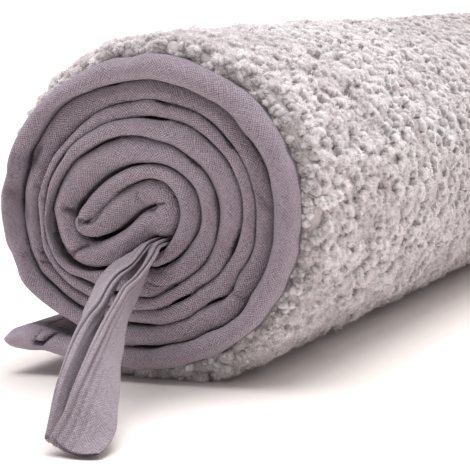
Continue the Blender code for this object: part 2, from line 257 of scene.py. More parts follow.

# Puckers and creases of the front binding: how wide and deep, and a line seen from the winding's
# centre. Each presses the tape in and darkens it as painted shade. A depth below 0 swells the tape
# and lightens it as painted light.
CREASES = (
    # name, width, depth, points
    ("pucker, first", 0.35, 0.9, (
        (0.5, -16.5), (1.8, -17.1), (3.7, -17.5), (5.9, -17.5), (8.2, -16.6))),
    ("pucker, second", 0.35, 1.0, (
        (-0.1, -17.2), (1.0, -18.2), (2.9, -18.6), (5.2, -18.2), (7.4, -17.1))),
    ("pucker, third", 0.35, 0.8, (
        (-0.5, -18.1), (0.3, -19.1), (1.8, -19.5), (3.7, -19.3), (7.4, -17.3))),
    ("pucker, fourth", 0.30, 0.6, ((-0.7, -19.0), (-0.1, -20.0), (1.4, -20.4), (2.9, -20.1))),
    ("end of the slit", 0.35, 1.3, ((0.2, 0.8), (1.7, 0.8), (2.7, 2.1), (3.8, 2.4), (4.9, 2.7))),
    ("over the slit", 0.70, 0.6, ((-2.0, 5.0), (-1.8, 3.3), (-0.7, 2.3))),
    ("curl at the tongue's end", 0.35, 0.9, (
        (-17.3, -2.9), (-17.7, -2.3), (-16.9, -2.2), (-15.9, -2.8), (-14.2, -2.9), (-13.1, -1.9),
        (-12.2, -0.3))),
    ("left of the tongue", 0.70, 1.8, ((-21.2, 0.2), (-20.0, -0.5), (-18.9, -1.0))),
    ("first fold", 0.55, 1.5, ((-19.9, -11.0), (-18.7, -10.0), (-17.2, -9.2), (-15.6, -8.7))),
    ("below the first fold", 0.50, 0.7, ((-20.3, -10.8), (-21.2, -9.8), (-22.2, -8.8))),
    ("outer turn, upper left", 1.30, 1.3, ((-29.3, 14.5), (-30.6, 12.6), (-31.6, 10.6))),
    ("outer turn, rim at the left", 1.80, 0.7, (
        (-36.6, -6.0), (-37.5, 1.0), (-36.6, 7.0), (-34.5, 12.5))),
    ("loose end, swollen", 2.20, -0.8, ((-36.5, -32.6), (-34.0, -31.8), (-31.6, -31.4))),
    ("outer turn, left", 1.50, 0.8, ((-32.3, -2.2), (-33.4, -0.1), (-34.6, 2.0), (-35.5, 3.7))),
    ("outer turn, lower left", 0.90, 0.8, ((-29.9, -14.1), (-31.2, -12.8), (-32.4, -11.4))),
    ("second turn, lower left", 0.50, 1.2, ((-26.6, -12.3), (-27.5, -11.2), (-28.1, -10.7))),
    ("second turn, lowest", 0.50, 0.9, ((-25.4, -13.7), (-27.2, -13.3), (-28.2, -13.0))),
    ("second turn, left", 0.60, 0.6, ((-27.0, 2.4), (-28.6, 5.0), (-29.8, 5.6))),
    ("turn at the right", 0.80, 0.5, ((28.3, 6.0), (30.0, 3.4), (31.6, 1.6))),
    ("turn at the lower right", 0.80, 0.6, ((21.6, -17.4), (24.0, -19.2), (26.2, -20.1))),
    ("turn at the upper left", 0.90, 0.5, ((-27.5, 9.8), (-30.0, 11.6), (-32.4, 12.4))),
    ("loose end, above", 0.30, 1.3, (
        (-29.1, -32.9), (-29.2, -31.9), (-28.6, -30.5), (-27.0, -29.6), (-24.5, -28.9),
        (-21.2, -28.2))),
    ("loose end, below", 0.45, 2.8, (
        (-29.2, -33.1), (-27.6, -33.3), (-26.5, -32.3), (-25.1, -31.1), (-22.3, -30.1),
        (-19.9, -29.5))),
)

# The end binding: the size of its nose, its rings along the roll, and how far it sways
END_NOSE = 2.4
END_PLACES = 130
END_SWAY = 0.25

# The pile's skin, with its shoulders at both ends of the roll. Its relief has full room where the
# pile reaches far enough out, and tufts need a least reach.
SHOULDER_START = 5.0
SHOULDER_DEPTH = 5.4
SHOULDER_LENGTH = 8.2
ROOMY_REACH = 3.0
LEAST_ROOM = 0.12
LEAST_REACH = 0.9

# The ground under the tufts: its grid, how far it lies under the skin, and its place in the colours, low
# as painted shade under the tufts
GROUND_PITCH = 3.0
GROUND_DROP = 1.9
GROUND_RELIEF = 0.4
GROUND_TIP = 0.42
GROUND_COLUMNS_UNDER = 6

# The tufts, in zones by distance from the front border that the front view sees
PUFF_SHAPES = {
    # name: sides, then the height and radius of each ring of points
    "fine": (7, ((0.14, 0.64), (0.46, 1.0), (0.80, 0.74))),
    "half fine": (6, ((0.24, 0.86), (0.70, 0.88))),
    "plain": (5, ((0.26, 0.88), (0.72, 0.84))),
}
PILE_ZONES = (
    # name, from, to, spacing of tufts, puffs a tuft, their radius, their shape, fibres a puff
    ("edge", 0.0, 9.0, 2.9, 3, 1.70, "fine", 62),
    ("front", 9.0, 65.0, 3.2, 3, 1.62, "fine", 48),
    ("middle", 65.0, 160.0, 3.5, 3, 1.68, "half fine", 14),
    ("far", 160.0, 300.0, 3.4, 1, 2.35, "plain", 6),
)
SEEN_FACING = -0.3

# The tufts elsewhere: their spacing, puffs a tuft and their radius
PLAIN_PILE = (4.2, 1, 2.55)
PLAIN_PILE_SEED = 9

# How the tufts scatter, and their puffs within them: shares of the spacing and of the radius
ROW_SPACING = 0.87
TUFT_JITTER = 0.38
TUFT_LEAN = 0.4
TUFT_LIFT = 0.5
LIFT_SCATTER = 0.3
TONE_WAVES = 0.25
TONE_SCATTER = 0.16
PUFF_SPREAD = 0.62

# The fibres in the grooves, before the noise that gathers them takes most away
GROOVE_FIBRES = 9000
GROOVE_SEED = 78
GROOVE_FIBRE_HALF_WIDTH = 0.12

# The hanging loop: its tape's width, how far its plain face stands out, and its strands and section
TAPE_WIDTH = 11.6
PLAIN_FACE = 0.76
TIP_STATIONS = 14
LOOP = (
    # forward, left (x, z, lean in degrees), right (x, z, lean in degrees)
    (-7.0, (3.1, 35.1, -58), (5.2, 34.9, -59)),
    (-1.0, (3.1, 35.1, -58), (5.2, 34.9, -59)),
    (2.5, (2.9, 34.7, -60), (5.3, 34.6, -48)),
    (6.0, (2.8, 33.3, -63), (5.9, 33.5, -34)),
    (10.0, (2.85, 31.8, -63), (6.3, 32.1, -25)),
    (14.0, (3.1, 30.9, -58), (6.7, 30.9, -21)),
    (21.0, (3.5, 30.2, -47), (7.5, 29.4, -15)),
    (28.0, (4.5, 28.8, -40), (8.2, 28.4, -5)),
    (36.0, (5.8, 26.0, -32), (9.8, 26.3, 2)),
    (43.0, (6.5, 24.3, -20), (10.9, 24.1, 8)),
    (51.0, (7.6, 22.0, -2), (12.2, 21.2, 18)),
    (59.0, (9.1, 18.6, 14), (13.2, 17.3, 31)),
    (67.0, (10.5, 13.6, 33), (14.0, 12.6, 45)),
    (72.5, (11.4, 8.0, 53), (14.0, 7.5, 59)),
    (76.0, (11.8, 3.9, 71), (13.2, 4.0, 71)),
)
TAPE_FACE = (
    # name, across the width from the lip, out from the tape's middle
    ("between the lips", 0.95, 0.02),
    ("lip, inside", 0.32, 0.16),
    ("lip, top", 0.0, 0.46),
    ("lip, outside", 0.25, 0.80),
    ("lip, side", 0.85, 0.86),
    ("seam", 1.45, 0.44),
    ("ridge beside the seam", 2.15, 0.86),
    ("second groove", 3.0, 0.54),
    ("second ridge", 3.9, 0.84),
    ("third groove", 5.0, 0.66),
    ("broad face", 6.4, 0.80),
    ("broad face", 9.3, 0.74),
    ("far fold", 10.9, 0.54),
    ("far fold", 11.45, 0.26),
)

# The stage, with a camera that matches the photo's view of the roll
CAMERA_FROM_FRONT = (205.5, -456.4, 98.5)
CAMERA_YAW = 21.7
CAMERA_DOWN = 7.07
CAMERA_LENS = 160.85
FLOOR_REACH = 30000.0
LIGHT_SOFTNESS = 60

# Colours that the panel doesn't offer
BACKING_COLOUR = (0.20, 0.155, 0.18)
# The darkest painted shade, in the deepest creases and shaded places of the tapes
DEEP_PAINTED_SHADE_COLOUR = (0.03, 0.022, 0.026)
# The groove fibres' colours: the pile's yarn made dark as painted shade inside the grooves
GROOVE_SHADED_ROOT_COLOUR = (0.08, 0.062, 0.066)
GROOVE_SHADED_TIP_COLOUR = (0.27, 0.215, 0.225)
# Share of the pile's colours kept in the yarn's darker copy for the far and unseen tufts: painted shade
PAINTED_SHADE_SHARE = 0.88
FLOOR_COLOUR = (0.90, 0.842, 0.812)
SURROUND_COLOUR = (1.0, 0.99, 0.985)

VECTOR = "NodeSocketVector"
FLOAT = "NodeSocketFloat"

Path = namedtuple("Path", "pile backing reach along turned")
Puffs = namedtuple("Puffs", "middle axis wide stretch share tone")


def curve_through(rows, places):
    """Values at fractional row numbers of a table, on a smooth curve through every row.

    Between two rows it is the cubic whose slope at each row is half the step between that row's
    neighbours.
    """
    rows = np.asarray(rows, float)
    places = np.asarray(places, float)
    last = len(rows) - 1
    start = np.clip(places.astype(int), 0, last - 1)
    t = (places - start).reshape((-1,) + (1,) * (rows.ndim - 1))
    before, low, high, after = (rows[np.clip(start + k, 0, last)] for k in (-1, 0, 1, 2))
    bend = 2 * before - 5 * low + 4 * high - after + t * (3 * (low - high) - before + after)
    return low + 0.5 * t * (high - before + t * bend)


def fade(low, high, value):
    """0 below low, 1 above high and smooth between."""
    t = np.clip((value - low) / (high - low), 0, 1)
    return t * t * (3 - 2 * t)


def unit(vectors):
    """Vectors of the same directions, 1 long."""
    return vectors / np.maximum(np.linalg.norm(vectors, axis=-1, keepdims=True), 1e-9)


def quarter_round(share):
    """Height of a quarter circle over a share of its width, both from 0 to 1."""
    return np.sqrt(1 - (1 - share) ** 2)


def soft_noise(u, v, seed):
    """Smooth noise from -1 to 1 over two parameters: random numbers at whole values, blended between.

    The callers divide each distance by the length of half a wave.
    """
    lattice = np.random.default_rng(seed).uniform(-1, 1, (64, 64))
    iu = np.floor(u).astype(int)
    iv = np.floor(v).astype(int)
    fu = fade(0, 1, u - iu)
    fv = fade(0, 1, v - iv)
    near = lattice[iu % 64, iv % 64] * (1 - fv) + lattice[iu % 64, (iv + 1) % 64] * fv
    beyond = lattice[(iu + 1) % 64, iv % 64] * (1 - fv) + lattice[(iu + 1) % 64, (iv + 1) % 64] * fv
    return near * (1 - fu) + beyond * fu


def smoothed(values, width):
    """A running mean, weighted towards the middle, over a row of values."""
    reach = np.arange(-3 * width, 3 * width + 1)
    weights = np.exp(-0.5 * (reach / width) ** 2)
    padded = np.pad(values, 3 * width, mode="edge")
    return np.convolve(padded, weights / weights.sum(), mode="valid")


def curve_of(rows):
    """Places on the smooth curve through a table, at even steps of the row number."""
    last = len(rows) - 1
    return curve_through(rows, np.linspace(0, last, last * STATIONS_A_ROW + 1))


def from_middles(middles, thickness):
    """The pile side and backing side of sections square to the line of their middles."""
    direction = unit(np.gradient(middles, axis=0))
    outwards = np.stack([direction[:, 1], -direction[:, 0]], axis=1)
    offset = outwards * (thickness[:, None] - GAP) / 2
    return middles + offset, middles - offset


def wound_path():
    """The winding as two lines, the pile side and the backing side, from the loose end to the core.

    The turns are radii over the angle turned, from the grooves between them. The loose end and the
    folded core are smooth curves through their tables.
    """
    turned = np.arange(FIRST_ANGLE, LAST_ANGLE + 1, STEP_ANGLE)
    known = list(zip(OUTER_DIRECTIONS[:-1], OUTER_LINE))
    for index, (_, row) in enumerate(GROOVES, start=1):
        known += [(angle + 360 * index, radius * UNIT) for angle, radius in row]
    angles, radii = np.array(known).T
    whole = np.arange(FIRST_ANGLE - SPARE_ANGLE, LAST_ANGLE + 360 + SPARE_ANGLE + 1, STEP_ANGLE)
    lines = smoothed(np.interp(whole, angles, radii), 2)
    distance = np.cumsum(lines) * radians(STEP_ANGLE)
    lines = lines + GROOVE_WAVER * soft_noise(distance / 4.5, lines * 0, 52)
    opening = GROOVE_OPENING * fade(0.0, 0.8, soft_noise(distance / 7.0, lines * 0, 51)) + GAP / 2
    outer = np.interp(turned, whole, lines - opening)
    inner = np.interp(turned + 360, whole, lines + opening * 0.3)
    reach = np.interp(turned, OUTER_DIRECTIONS, PILE_REACH) * (turned < PILE_DIVES_ANGLE)
    way = np.stack([np.cos(np.radians(turned)), np.sin(np.radians(turned))], axis=1)
    pile, backing = CENTRE + way * outer[:, None], CENTRE + way * inner[:, None]

    first = np.append((pile[0] + backing[0]) / 2, [np.linalg.norm(pile[0] - backing[0]), reach[0]])
    tail = curve_of(np.vstack([TAIL, first]))[:-1]
    tail_pile, tail_backing = from_middles(tail[:, :2], tail[:, 2])

    last = np.append((pile[-1] + backing[-1]) / 2 - CENTRE, np.linalg.norm(pile[-1] - backing[-1]))
    core = curve_of(np.vstack([last, CORE]))[1:]
    core_pile, core_backing = from_middles(core[:, :2] + CENTRE, core[:, 2])

    pile = np.vstack([tail_pile, pile, core_pile])
    backing = np.vstack([tail_backing, backing, core_backing])
    reach = np.concatenate([tail[:, 3], reach, np.zeros(len(core))])
    turned = np.concatenate([np.full(len(tail), FIRST_ANGLE), turned, np.full(len(core), LAST_ANGLE)])
    steps = np.linalg.norm(np.diff((pile + backing) / 2, axis=0), axis=1)
    along = np.concatenate([[0.0], np.cumsum(steps)])
    return Path(pile, backing, np.maximum(reach, 0), along, turned)


def sections_at(path, along):
    """The path's sections at distances along it, on straight lines between its own sections."""
    def read(values):
        return np.stack([np.interp(along, path.along, column) for column in values.T], axis=1)

    return Path(read(path.pile), read(path.backing), np.interp(along, path.along, path.reach), along,
                np.interp(along, path.along, path.turned))


def along_at(path, degrees):
    """Distance along the path where it has turned so many degrees."""
    return np.interp(degrees, path.turned, path.along)


def half_and_middle(path):
    """Half the way from the backing side to the pile side of each section, and the section's middle."""
    return (path.pile - path.backing) / 2, (path.pile + path.backing) / 2


def carried(flat, depth):
    """Points of the end view, carried to a depth along the roll, in millimetres."""
    x = flat[..., 0] + X_SHIFT
    return np.stack([x, np.broadcast_to(depth, x.shape), flat[..., 1]], axis=-1)


def above_floor(points, least=FLOOR_LIFT):
    """The points, with none of them lower than just above the floor."""
    points[..., 2] = np.maximum(points[..., 2], least)
    return points


def make_mesh(name, points, corners, starts, uv=None, values=None):
    """A mesh object from arrays of points in millimetres, face corners and each face's first corner."""
    mesh = bpy.data.meshes.new(name)
    mesh.vertices.add(len(points))
    mesh.vertices.foreach_set("co", np.ascontiguousarray(points * MM, np.float32).ravel())
    mesh.loops.add(len(corners))
    mesh.loops.foreach_set("vertex_index", corners.astype(np.int32))
    mesh.polygons.add(len(starts))
    mesh.polygons.foreach_set("loop_start", starts.astype(np.int32))
    mesh.update(calc_edges=True)
    if uv is not None:
        layer = mesh.uv_layers.new(name="UVMap")
        layer.uv.foreach_set("vector", np.ascontiguousarray(uv, np.float32).ravel())
    for key, numbers in (values or {}).items():
        layer = mesh.attributes.new(key, "FLOAT", "POINT")
        layer.data.foreach_set("value", np.ascontiguousarray(numbers, np.float32))
    mesh.shade_smooth()
    made = bpy.data.objects.new(name, mesh)
    bpy.context.scene.collection.objects.link(made)
    return made


def uv_of_rings(rings, along):
    """UV in millimetres: the distance along the piece, and the distance round each closed ring."""
    closed = np.concatenate([rings, rings[:, :1]], axis=1)
    steps = np.linalg.norm(np.diff(closed, axis=1), axis=2)
    around = np.concatenate([np.zeros((len(rings), 1)), np.cumsum(steps, axis=1)], axis=1)
    return np.stack([np.broadcast_to(along[:, None], around.shape), around], axis=-1)


def tube(name, rings, along, values=None):
    """A closed surface from rings of points, with a flat fan over each end.

    rings is (rows, columns, 3), and each row is a closed ring. Its UV has one column more than the
    ring, so that the last column joins the first without a jump.
    """
    uv = uv_of_rings(rings, along)
    rows, columns = rings.shape[:2]
    i, j = np.meshgrid(np.arange(rows - 1), np.arange(columns), indexing="ij")
    low, high, beside = i * columns, (i + 1) * columns, (j + 1) % columns
    quads = np.stack([low + j, low + beside, high + beside, high + j], -1)
    quad_uv = np.stack([uv[i, j], uv[i, j + 1], uv[i + 1, j + 1], uv[i + 1, j]], axis=2)
    count = rows * columns
    ring = np.arange(columns)
    after = (ring + 1) % columns
    final = (rows - 1) * columns
    fans = np.concatenate([np.stack([after, ring, np.full(columns, count)], -1),
                           np.stack([ring + final, after + final, np.full(columns, count + 1)], -1)])
    fan_uv = np.concatenate([np.stack([uv[0, ring + 1], uv[0, ring], uv[0, ring]], axis=1),
                             np.stack([uv[-1, ring], uv[-1, ring + 1], uv[-1, ring]], axis=1)])
    points = np.concatenate([rings.reshape(-1, 3), rings[[0, -1]].mean(axis=1)])
    corners = np.concatenate([quads.reshape(-1), fans.reshape(-1)])
    starts = np.concatenate([np.arange(quads[..., 0].size) * 4, quads.size + np.arange(len(fans)) * 3])
    all_uv = np.concatenate([quad_uv.reshape(-1, 2), fan_uv.reshape(-1, 2)])
    made = make_mesh(name, points, corners, starts, all_uv, values)
    a, b, c, d = (points[quads[..., corner]] for corner in range(4))
    outward = a + b + c + d - 4 * points.mean(axis=0)
    if np.einsum("...k,...k", np.cross(c - a, d - b), outward).sum() < 0:
        made.data.flip_normals()
    return made


def with_ends(values, end):
    """The values at a tube's points, with those at the middles of its two ends added."""
    return np.append(values.ravel(), [end, end])


def crease_depth(flat):
    """How far the creases press the front binding in at points of the end view.

    Each one is its depth times e to minus the square of distance over width, where the distance
    is that to the nearest of its line's pieces, and the creases add up.
    """
    total = np.zeros(flat.shape[:-1])
    spot = flat - CENTRE
    for _, width, depth, line in CREASES:
        line = np.array(line)
        best = np.zeros(total.shape)
        for start, end in zip(line, line[1:]):
            step = end - start
            share = np.clip(((spot - start) @ step) / (step @ step), 0, 1)
            distance = np.linalg.norm(spot - start - share[..., None] * step, axis=-1)
            best = np.maximum(best, np.exp(-((distance / width) ** 2)))
        total += depth * best
    return total


def nose_length(half):
    """Length of the bead's round nose, for half the thickness of each section."""
    return np.minimum(np.linalg.norm(half, axis=1) * NOSE_SHARE, NOSE_LONGEST)


def slot_share(half):
    """The share of half the thickness at which the tape's inner side clears the cloth's margin."""
    return MARGIN_SHARE + CLEARANCE / np.linalg.norm(half, axis=1)[:, None]


def stand_at(turned):
    """How far an edge binding stands forward, and how far its outer side falls back, by degrees turned."""
    degrees, forward, back = np.array(STAND).T
    return np.interp(turned, degrees, forward), np.interp(turned, degrees, back)


def bead_profile(path, side, nose_columns):
    """Places round the section of the tape that wraps one long edge, as shares and depths.

    A share is of half the thickness, from the backing side at -1 to the pile side at 1, and a depth
    is behind the roll's end. They run from the backing's wall over the nose to the pile's wall, and
    back by the slot that holds the cloth. The nose is half of a rounded square: its share is the
    sine of an angle from -90 to 90 degrees, and its depth is its length times one minus the cosine
    to the power 1.15, moved by soft noise.
    """
    half, _ = half_and_middle(path)
    along = path.along[:, None]
    rows = np.ones_like(along)
    nose = nose_length(half)[:, None]
    end = np.minimum(along, along[-1] - along)
    rounding = quarter_round(np.clip(end / END_ROUNDING, 0.02, 1))

    angle = np.linspace(-pi / 2, pi / 2, nose_columns)
    share = np.sin(angle)[None, :] * rows
    bow = (1 - np.cos(angle) ** NOSE_POWER)[None, :]
    depth = nose * bow + (1 - rounding) * nose * 0.8
    swell = soft_noise(along / 7.0, share * 1.3 + side, 11 + side) * 0.22
    swell = swell + soft_noise(along / 7.0 * 2.7, share * 2.0, 21 + side) * 0.10
    lumps = soft_noise(along / 2.6, share * 1.6, 27) * LOOSE_LUMPS * fade(*LOOSE_LUMPS_UP_TO, along)
    depth = depth - swell * (1 - bow * 0.7) + lumps * (1 - bow)

    wall_share, wall_depth, behind_nose = np.array(WALLS).T
    wall_share = wall_share * rows
    wall_depth = np.minimum(np.maximum(wall_depth * rows, nose + behind_nose), BINDING_DEPTH)
    slot = slot_share(half) * np.ones((1, 2))
    slot_depth = np.array([[BINDING_DEPTH, BINDING_WALL + 1.2]]) * rows
    shares = np.concatenate([-wall_share[:, ::-1], share, wall_share, slot, -slot], axis=1)
    depths = [wall_depth[:, ::-1], depth, wall_depth, slot_depth, slot_depth[:, ::-1]]
    return shares * (END_THINNEST + (1 - END_THINNEST) * rounding), np.concatenate(depths, axis=1)


def binding_shade(path, creased, nose_columns):
    """The painted shade attribute: the creases' depth plus painted shade, or light below 0, on the tape."""
    column = np.arange(creased.shape[1]) - len(WALLS)
    nose = (column >= 0) & (column < nose_columns)
    pile_wall = (column >= nose_columns) & (column < nose_columns + len(WALLS))
    second_turn = fade(*SECOND_TURN_STARTS, path.turned) * fade(*SECOND_TURN_STOPS, path.turned)
    loose = (path.turned <= FIRST_ANGLE)[:, None]
    shade = creased + PILE_WALL_SHADE * pile_wall + BACKING_WALL_SHADE * (column < 0)
    shade = shade + SECOND_TURN_SHADE * second_turn[:, None]
    shade = shade + LOOSE_NOSE_SHADE * (loose & nose)
    shade = shade + LOOSE_TOP_SHADE * (loose & (column < 2)) * fade(*LOOSE_TOP_STARTS, path.along)[:, None]
    return {"painted_shade": with_ends(shade, 0.0)}


def binding_rings(path, side, nose_columns):
    """Rings of points for the tape round one long edge, with its distances along and its painted shade.

    side is -1 at the front and 1 at the back. Both stand forward as their table says, most at the
    nose and not at all at the binding's depth. The front one is pressed in by its creases.
    """
    half, middle = half_and_middle(path)
    shares, depths = bead_profile(path, side, nose_columns)
    flat = middle[:, None, :] + half[:, None, :] * shares[..., None]
    forward, back = stand_at(path.turned)
    wander = soft_noise(path.along / 31.0, path.along * 0, 5 + side) * 0.5
    forward = forward + wander * (path.turned > WANDERS_FROM_ANGLE)
    stand = forward[:, None] - back[:, None] * (shares + 1) / 2
    creased = crease_depth(flat) * (side < 0) * np.clip(1 - depths / CREASE_DEPTH_REACH, 0, 1)
    outside = np.arange(shares.shape[1]) < 2 * len(WALLS) + nose_columns
    depths = depths + creased * outside - stand * np.clip(1 - depths / BINDING_DEPTH, 0, 1)
    place = FRONT + depths if side < 0 else BACK - depths
    rings = above_floor(carried(flat, place))
    return rings, path.along, binding_shade(path, creased, nose_columns)


def end_binding_rings(path, from_start):
    """Rings for the tape round a short edge: its U-shaped profile at places along the roll.

    The profile is the path's own sections within the tape's depth, closed by a round nose, and it
    sways by soft noise from place to place.
    """
    length = path.along[-1]
    depth = np.concatenate([[END_DEPTH, 6.0, 4.4], np.linspace(3.2, 0.0, 7)])
    half, middle = half_and_middle(sections_at(path, depth if from_start else length - depth))
    across = quarter_round(np.clip(depth / END_NOSE, 0.0, 1))[:, None]
    slot = np.minimum(slot_share(half), 0.7)
    keep = depth > BINDING_WALL + 0.6
    outer = np.concatenate([middle + half * across, (middle - half * across)[::-1][1:]])
    inner = np.concatenate([(middle - half * slot)[keep], (middle + half * slot)[keep][::-1]])
    profile = np.concatenate([outer, inner])
    outside = (np.arange(len(profile)) < len(outer))[None, :, None]
    places = np.linspace(INNER_FRONT, INNER_BACK, END_PLACES)
    sway = soft_noise(places[:, None] / 23.0, np.zeros((1, len(profile))), 61) * END_SWAY
    flat = profile[None] + np.stack([sway * 0.6, sway], axis=-1) * outside
    return above_floor(carried(flat, places[:, None])), places


def cloth_rings(path):
    """Rings across the mat for the cloth under the tufts: thin margins, and a body with its pile.

    Each section of the path is one ring: the pile side stands out by the reach less the tufts'
    height, falling away towards both ends of the roll.
    """
    length = path.along[-1]
    start, end = END_DEPTH + CLEARANCE, length - END_DEPTH - CLEARANCE
    inside = path.along[(path.along > start + 0.8) & (path.along < end - 0.8)][::COARSE_STEP]
    before = [2.2, 5.0, start, start + BODY_STEP]
    after = [end - BODY_STEP, end, length - 5.0, length - 2.2]
    section = sections_at(path, np.concatenate([before, inside, after]))
    half, middle = half_and_middle(section)
    body = (section.along > start + BODY_STEP / 2) & (section.along < end - BODY_STEP / 2)

    low, high = FRONT + BINDING_WALL + 4.0, BACK - BINDING_WALL - 4.0
    depth = np.concatenate([
        [low, INNER_FRONT - CLEARANCE, INNER_FRONT, INNER_FRONT + 2.5],
        np.linspace(INNER_FRONT + 6, INNER_BACK - 6, 6),
        [INNER_BACK - 2.5, INNER_BACK, INNER_BACK + CLEARANCE, high],
    ])
    margin = (depth < INNER_FRONT) | (depth > INNER_BACK)
    share = np.where(body[:, None] & ~margin, BODY_SHARE, MARGIN_SHARE)[..., None]
    reach = np.clip(section.reach - TUFT_HEIGHT, 0, None) * body
    fall = fade(0.0, 6.0, np.minimum(depth - INNER_FRONT, INNER_BACK - depth))
    out = unit(half)[:, None] * (reach[:, None] * fall)[..., None]
    top = middle[:, None] + half[:, None] * share + out
    under = middle[:, None] - half[:, None] * share
    flat = np.concatenate([top, under[:, ::-1]], axis=1)
    depths = np.concatenate([depth, depth[::-1]])
    return above_floor(carried(flat, depths[None, :])), section.along


def pile_length():
    """Length of the pile's skin across the mat, over both shoulders."""
    return BACK - FRONT - 2 * SHOULDER_START + 2 * (SHOULDER_LENGTH - SHOULDER_DEPTH)


def to_border(s):
    """Distance over the pile from places across it to the nearer border."""
    return np.minimum(s, pile_length() - s)


def pile_frame(path, a, s):
    """Places on the pile's outer limit, by distance along the winding and over it from the front border.

    The limit rises from the border on a quarter of an ellipse, runs level at the pile's reach and
    falls the same way at the back. With each place come the directions square to it, onward round
    the roll and across the mat, and the room for relief.
    """
    section = sections_at(path, a)
    out = unit(section.pile - section.backing)
    normal = np.stack([out[:, 0], 0 * a, out[:, 1]], axis=1)
    onward = np.stack([-out[:, 1], 0 * a, out[:, 0]], axis=1)
    border = to_border(s)
    end = np.where(s < pile_length() / 2, -1.0, 1.0)
    theta = (np.clip(border / SHOULDER_LENGTH, 0, 1) * pi / 2)[:, None]
    room = np.clip(section.reach / ROOMY_REACH, LEAST_ROOM, 1)
    in_from_end = SHOULDER_START + SHOULDER_DEPTH * (1 - np.cos(theta[:, 0]))
    in_from_end = in_from_end + np.maximum(border - SHOULDER_LENGTH, 0)
    in_from_end = in_from_end + (BINDING_DEPTH - SHOULDER_START) * (1 - room)
    y = np.where(end < 0, FRONT + in_from_end, BACK - in_from_end)
    roll = np.array([[0.0, 1.0, 0.0]])
    square = normal * np.sin(theta) + roll * end[:, None] * np.cos(theta)
    across = roll * np.sin(theta) - normal * end[:, None] * np.cos(theta)
    limit = carried(section.pile, y) + normal * section.reach[:, None] * np.sin(theta)
    return limit, square, onward, across, room


def pile_ground(name, path):
    """The closed, uneven layer that the tufts stand on: a little under the pile's limit, with soft noise.

    It is painted dark, as shade under the tufts, and is a little lower and darker near the front, where
    the tufts stand closest, than further back and on the sides that the front view doesn't see.
    """
    last, edge = along_at(path, PILE_END_ANGLE), np.linspace(0.0, 10.0, 9)
    a = np.linspace(END_DEPTH + 0.4, last, int(last / GROUND_PITCH))
    level = np.arange(edge[-1], pile_length() - edge[-1], GROUND_PITCH)
    s = np.concatenate([edge[:-1], level, pile_length() - edge[::-1]])
    all_a, all_s = (grid.ravel() for grid in np.meshgrid(a, s, indexing="ij"))
    limit, square, _, _, room = pile_frame(path, all_a, all_s)
    unseen = fade(0.1, -0.3, facing_camera(path, all_a, FRONT + all_s))
    plain = np.maximum(fade(50.0, 240.0, all_s), unseen)
    relief = fade(1.0, 9.0, to_border(all_s)) + soft_noise(all_a / 3.0, all_s / 3.0, 41) - plain
    points = above_floor(limit - square * ((GROUND_DROP + GROUND_RELIEF * relief) * room)[:, None])
    points = points.reshape(len(a), len(s), 3)
    section = sections_at(path, a)
    inside = section.pile - unit(section.pile - section.backing) * 0.25
    depth = np.linspace(points[:, -1, 1].mean(), points[:, 0, 1].mean(), GROUND_COLUMNS_UNDER + 2)[1:-1]
    under = above_floor(carried(np.repeat(inside[:, None], len(depth), axis=1), depth))
    tip = np.zeros((len(a), len(s) + len(depth)))
    tip[:, :len(s)] = GROUND_TIP + 0.04 * plain.reshape(len(a), len(s))
    values = {"tip": with_ends(tip, 0.5), "tone": with_ends(0 * tip + 0.5, 0.5)}
    return tube(name, np.concatenate([points, under], axis=1), a, values)


def puff_shape(sides, levels):
    """A closed puff of height 1 and radius 1: points (angle, radius, height) and its triangles."""
    turn = np.arange(sides) * 2 * pi / sides
    points = [(0.0, 0.0, 0.0)]
    for index, (height, radius) in enumerate(levels):
        points += [(angle + index * pi / sides, radius, height) for angle in turn]
    points.append((0.0, 0.0, 1.0))
    ring = np.arange(sides)
    after = (ring + 1) % sides
    faces = [np.stack([after + 1, ring + 1, 0 * ring], 1)]
    for index in range(len(levels) - 1):
        low, high = 1 + index * sides, 1 + (index + 1) * sides
        faces.append(np.stack([ring + low, after + low, ring + high], 1))
        faces.append(np.stack([after + low, after + high, ring + high], 1))
    top = 1 + (len(levels) - 1) * sides
    faces.append(np.stack([ring + top, after + top, np.full(sides, len(points) - 1)], 1))
    return np.array(points), np.concatenate(faces)


